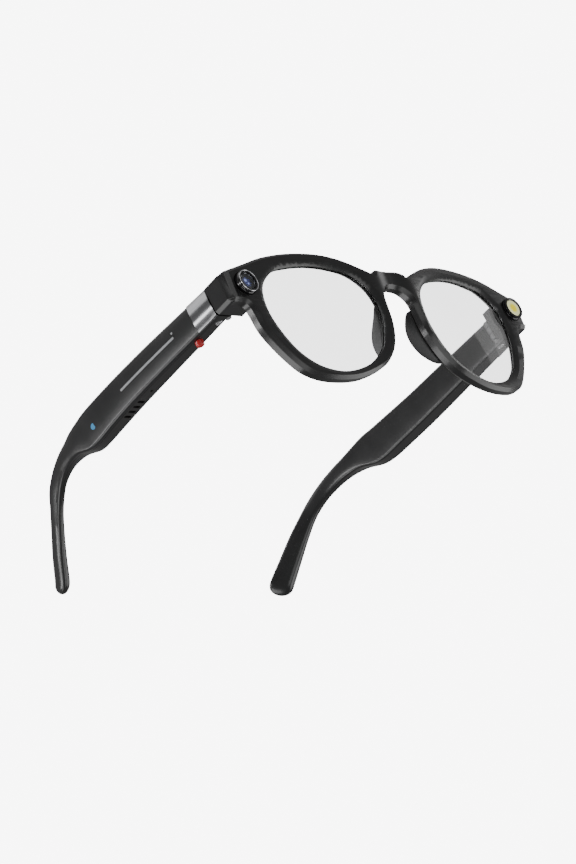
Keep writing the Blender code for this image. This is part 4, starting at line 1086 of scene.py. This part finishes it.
def band_shape(side):
    rings = []
    for share in (0.0, 0.33, 0.66, 1.0):
        station = station_at(arm_start + share * band_length)
        ring = arm_ring(station, station[4] - band_thickness, station[4], 0.00045, (0.0, 0.0), face_crown)
        rings.append([(side * p.x, p.y, p.z) for p in ring])
    return skin("band", rings)


for name, side in sides:
    band = put(f"silver_band_{name}", band_shape(side), level, f"{name}_temple", band_metal)
    soften(band, 0.00007)
    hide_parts(f"accent_band_{name}")


# ---------------------------------------------------------------- touch strip and status light
# A frosted strip is let into the right arm's outer face, where a finger slides along it. The
# status light is a tiny light pipe above its front end.

frosted = moulded("frosted_guide", (0.30, 0.31, 0.32), (0.40, 0.41, 0.42), 0.34, 0.46, grain=2200.0)
strip = put("frosted_strip", strip_room(-1, 0.0), level, "right_temple", frosted)
soften(strip, 0.00006)
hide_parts("touch_strip")
repaint("status_light", frosted)


# ---------------------------------------------------------------- printed dot
# A plain blue dot is printed on the right arm's outer face behind the touch strip.

dot_along = 0.0640
ink_blue = moulded("ink_blue", (0.04, 0.26, 0.52), (0.06, 0.32, 0.60), 0.40, 0.50, grain=2500.0)
station = station_at(arm_start + dot_along)
dot_up = (station[1] + station[3]) / 2 - 0.0012
place = Matrix.Translation((-station[4] + 0.00002, arm_start + dot_along, dot_up))
dot = put("printed_dot", rod("printed_dot", 0.0011, 0.00012, 40),
          level @ place @ Matrix.Rotation(math.pi / 2, 4, "Y"), "right_temple", ink_blue)
shade(dot, 40)


# ---------------------------------------------------------------- capture button
# A small red cap stands out of the right arm's underside, in its own hole, and presses straight
# up against the switch on the board.

button_red = moulded("button_red", (0.46, 0.010, 0.012), (0.58, 0.018, 0.018), 0.26, 0.36,
                     grain=2500.0, Coat_Weight=0.3, Coat_Roughness=0.1)
button_low, button_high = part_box("capture_button")
cap_profile = (
    (0.00035, 0.00022), (0.00080, 0.00018), (0.00098, 0.00006), (0.00112, 0.0), (0.00128, 0.00010),
    (0.00138, 0.00030), (0.00142, 0.00070), (0.00146, 0.00075), (0.00148, 0.00280), (0.00185, 0.00282),
    (0.00187, 0.00335), (0.00040, 0.00340),
)
button_middle = (button_low + button_high) / 2
place = Matrix.Translation((button_middle.x, button_middle.y, button_low.z))
cap = put("red_cap", capped("red_cap", cap_profile, 48), place, "button", button_red)
shade(cap, 45)
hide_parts("capture_button")
repaint("button_switch", leaf_steel)


# ---------------------------------------------------------------- fixing screws
# One screw by each hinge holds the two casings together. Its bright ring head sits just inside
# the underside, with a socket in the middle.

screw_profile = ((0.00030, 0.0008), (0.00030, 0.00045), (0.00062, 0.00045), (0.00068, 0.00010),
                 (0.00082, 0.0), (0.00112, 0.0), (0.00126, 0.00010), (0.00128, 0.00030), (0.00128, 0.0009))
for name, side in sides:
    low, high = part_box(f"fixing_screw_{name}")
    place = Matrix.Translation(((low.x + high.x) / 2, (low.y + high.y) / 2, low.z))
    screw = put(f"ring_screw_{name}", turned(f"ring_screw_{name}", screw_profile, 48), place,
                f"{name}_temple", screw_steel)
    shade(screw, 35)
    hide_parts(f"fixing_screw_{name}")


# ---------------------------------------------------------------- speaker, microphone, power
# Inside the arms: the speaker behind a woven steel mesh, the microphone can, a foil battery
# and a long board in each arm. They are held by ribs and tape, out of sight.


def woven_mesh():
    """Woven wire: bright wires and dark holes."""
    finish, tree, shader = new_finish("woven_mesh", Metallic=0.8)
    spot = fixed_to_piece(tree)
    across = node(tree, "TexWave", {"bands_direction": "X"}, Vector=spot, Scale=1300.0)
    along = node(tree, "TexWave", {"bands_direction": "Y"}, Vector=spot, Scale=1300.0)
    wires = node(tree, "Math", {"operation": "MAXIMUM"}, _0=across.outputs["Fac"], _1=along.outputs["Fac"])
    mask = node(tree, "MapRange", None, Value=wires.outputs[0], From_Min=0.35, From_Max=0.8)
    colour = ramp(tree, mask.outputs[0], (0.05, 0.05, 0.05), (0.62, 0.62, 0.63))
    feed(shader, Base_Color=colour, Roughness=ramp(tree, mask.outputs[0], 0.7, 0.35))
    emboss(tree, shader, mask.outputs[0], 0.0001, 0.8)
    return finish


def crinkled_foil():
    """The battery's pouch: dull foil with soft creases."""
    finish, tree, shader = new_finish("crinkled_foil", Metallic=0.85)
    spot = fixed_to_piece(tree)
    crease = node(tree, "TexNoise", None, Vector=spot, Scale=420.0, Detail=4.0, Distortion=1.5)
    feed(shader, Base_Color=ramp(tree, crease.outputs["Fac"], (0.30, 0.31, 0.33), (0.48, 0.49, 0.51)),
         Roughness=ramp(tree, crease.outputs["Fac"], 0.28, 0.45))
    emboss(tree, shader, crease.outputs["Fac"], 0.0002, 0.4)
    return finish


repaint("speaker_mesh", woven_mesh())
repaint("speaker", moulded("speaker_black", (0.02, 0.02, 0.022), (0.035, 0.035, 0.037), 0.4, 0.55))
repaint("microphone", screw_steel)
foil = crinkled_foil()
for name, side in sides:
    repaint(f"battery_{name}", foil)
    repaint(f"circuit_board_{name}", green_board)


# ---------------------------------------------------------------- studio
# A pale floor, a white surround and large soft boxes. The camera looks up at the glasses from
# in front, below and to the wearer's right, so the floor shows only from above.

camera = bpy.data.cameras.new("camera")
view = bpy.data.objects.new("camera", camera)
bpy.context.scene.collection.objects.link(view)
camera.sensor_fit = "VERTICAL"
camera.sensor_height = 36.0
camera.lens = 144.53
camera.clip_start = 0.01
view.location = (-0.84413, -0.62647, -0.48425)
view.rotation_euler = [math.radians(v) for v in (118.6503, 24.4500, -40.8995)]
bpy.context.scene.camera = view

middle = Vector((0, 0, 0.024))


def soft_box(name, direction, distance, width, height, power):
    """An area light that faces the glasses from a direction."""
    lamp = bpy.data.lights.new(name, "AREA")
    lamp.shape = "RECTANGLE"
    lamp.size = width
    lamp.size_y = height
    lamp.energy = power
    made = bpy.data.objects.new(name, lamp)
    bpy.context.scene.collection.objects.link(made)
    away = Vector(direction).normalized()
    made.location = middle + away * distance
    made.rotation_euler = away.to_track_quat("Z", "Y").to_euler()
    return made


soft_box("low_left_back", (-0.83, 0.53, 0.09), 0.7, 0.6, 0.14, 2.2)
soft_box("below_left", (-0.62, 0.53, -0.58), 0.7, 0.45, 0.35, 1.8)
soft_box("above", (-0.25, 0.35, 0.90), 0.8, 0.8, 0.5, 2.0)
soft_box("below_front", (0.72, -0.44, -0.53), 0.8, 0.6, 0.5, 2.2)
soft_box("front_left", (-0.52, -0.71, 0.36), 0.8, 0.3, 0.4, 0.5)
soft_box("front_below", (-0.20, -0.80, -0.50), 0.8, 0.5, 0.5, 1.3)
for width in (0.14, 0.22, 0.30):
    soft_box("right_front", (0.92, -0.27, 0.28), 0.8, width, width + 0.14, 0.14)

world = bpy.data.worlds.new("studio")
bpy.context.scene.world = world
world.use_nodes = True
sky = world.node_tree
dim = sky.nodes["Background"]
dim.inputs["Color"].default_value = (1, 1, 1, 1)
dim.inputs["Strength"].default_value = 0.26
white = node(sky, "Background", None, Color=(1, 1, 1, 1), Strength=8.0)
through = node(sky, "Background", None, Color=(1, 1, 1, 1), Strength=3.6)
path = node(sky, "LightPath")
bounced = node(sky, "Math", {"operation": "ADD"}, _0=path.outputs["Glossy Depth"],
               _1=path.outputs["Diffuse Depth"])
straight = node(sky, "Math", {"operation": "LESS_THAN"}, _0=bounced.outputs[0], _1=0.5)
behind = node(sky, "MixShader", None, _0=straight.outputs[0], _1=dim.outputs[0], _2=through.outputs[0])
mixed = node(sky, "MixShader", None, _0=path.outputs["Is Camera Ray"], _1=behind.outputs[0],
             _2=white.outputs[0])
sky.links.new(mixed.outputs[0], sky.nodes["World Output"].inputs["Surface"])

shape = bmesh.new()
bmesh.ops.create_grid(shape, x_segments=8, y_segments=8, size=2.0)
floor = put("floor", finished("floor", shape), Matrix.Translation((0, 0, -0.0002)))
floor.hide_render = False
floor_pale, tree, shader = new_finish("floor_pale")
marks = node(tree, "TexNoise", None, Vector=fixed_to_piece(tree), Scale=6.0, Detail=3.0)
feed(shader, Base_Color=ramp(tree, marks.outputs["Fac"], (0.78, 0.78, 0.78), (0.82, 0.82, 0.82)),
     Roughness=ramp(tree, marks.outputs["Fac"], 0.6, 0.7))
clear = node(tree, "BsdfTransparent")
seen = node(tree, "LightPath").outputs["Is Camera Ray"]
underneath = node(tree, "NewGeometry").outputs["Backfacing"]
above = node(tree, "Math", {"operation": "SUBTRACT"}, _0=1.0, _1=underneath)
shown = node(tree, "Math", {"operation": "MULTIPLY"}, _0=seen, _1=above.outputs[0])
mixed = node(tree, "MixShader", None, _0=shown.outputs[0], _1=clear.outputs[0], _2=shader.outputs[0])
tree.links.new(mixed.outputs[0], tree.nodes["Material Output"].inputs["Surface"])
floor.data.materials.append(floor_pale)
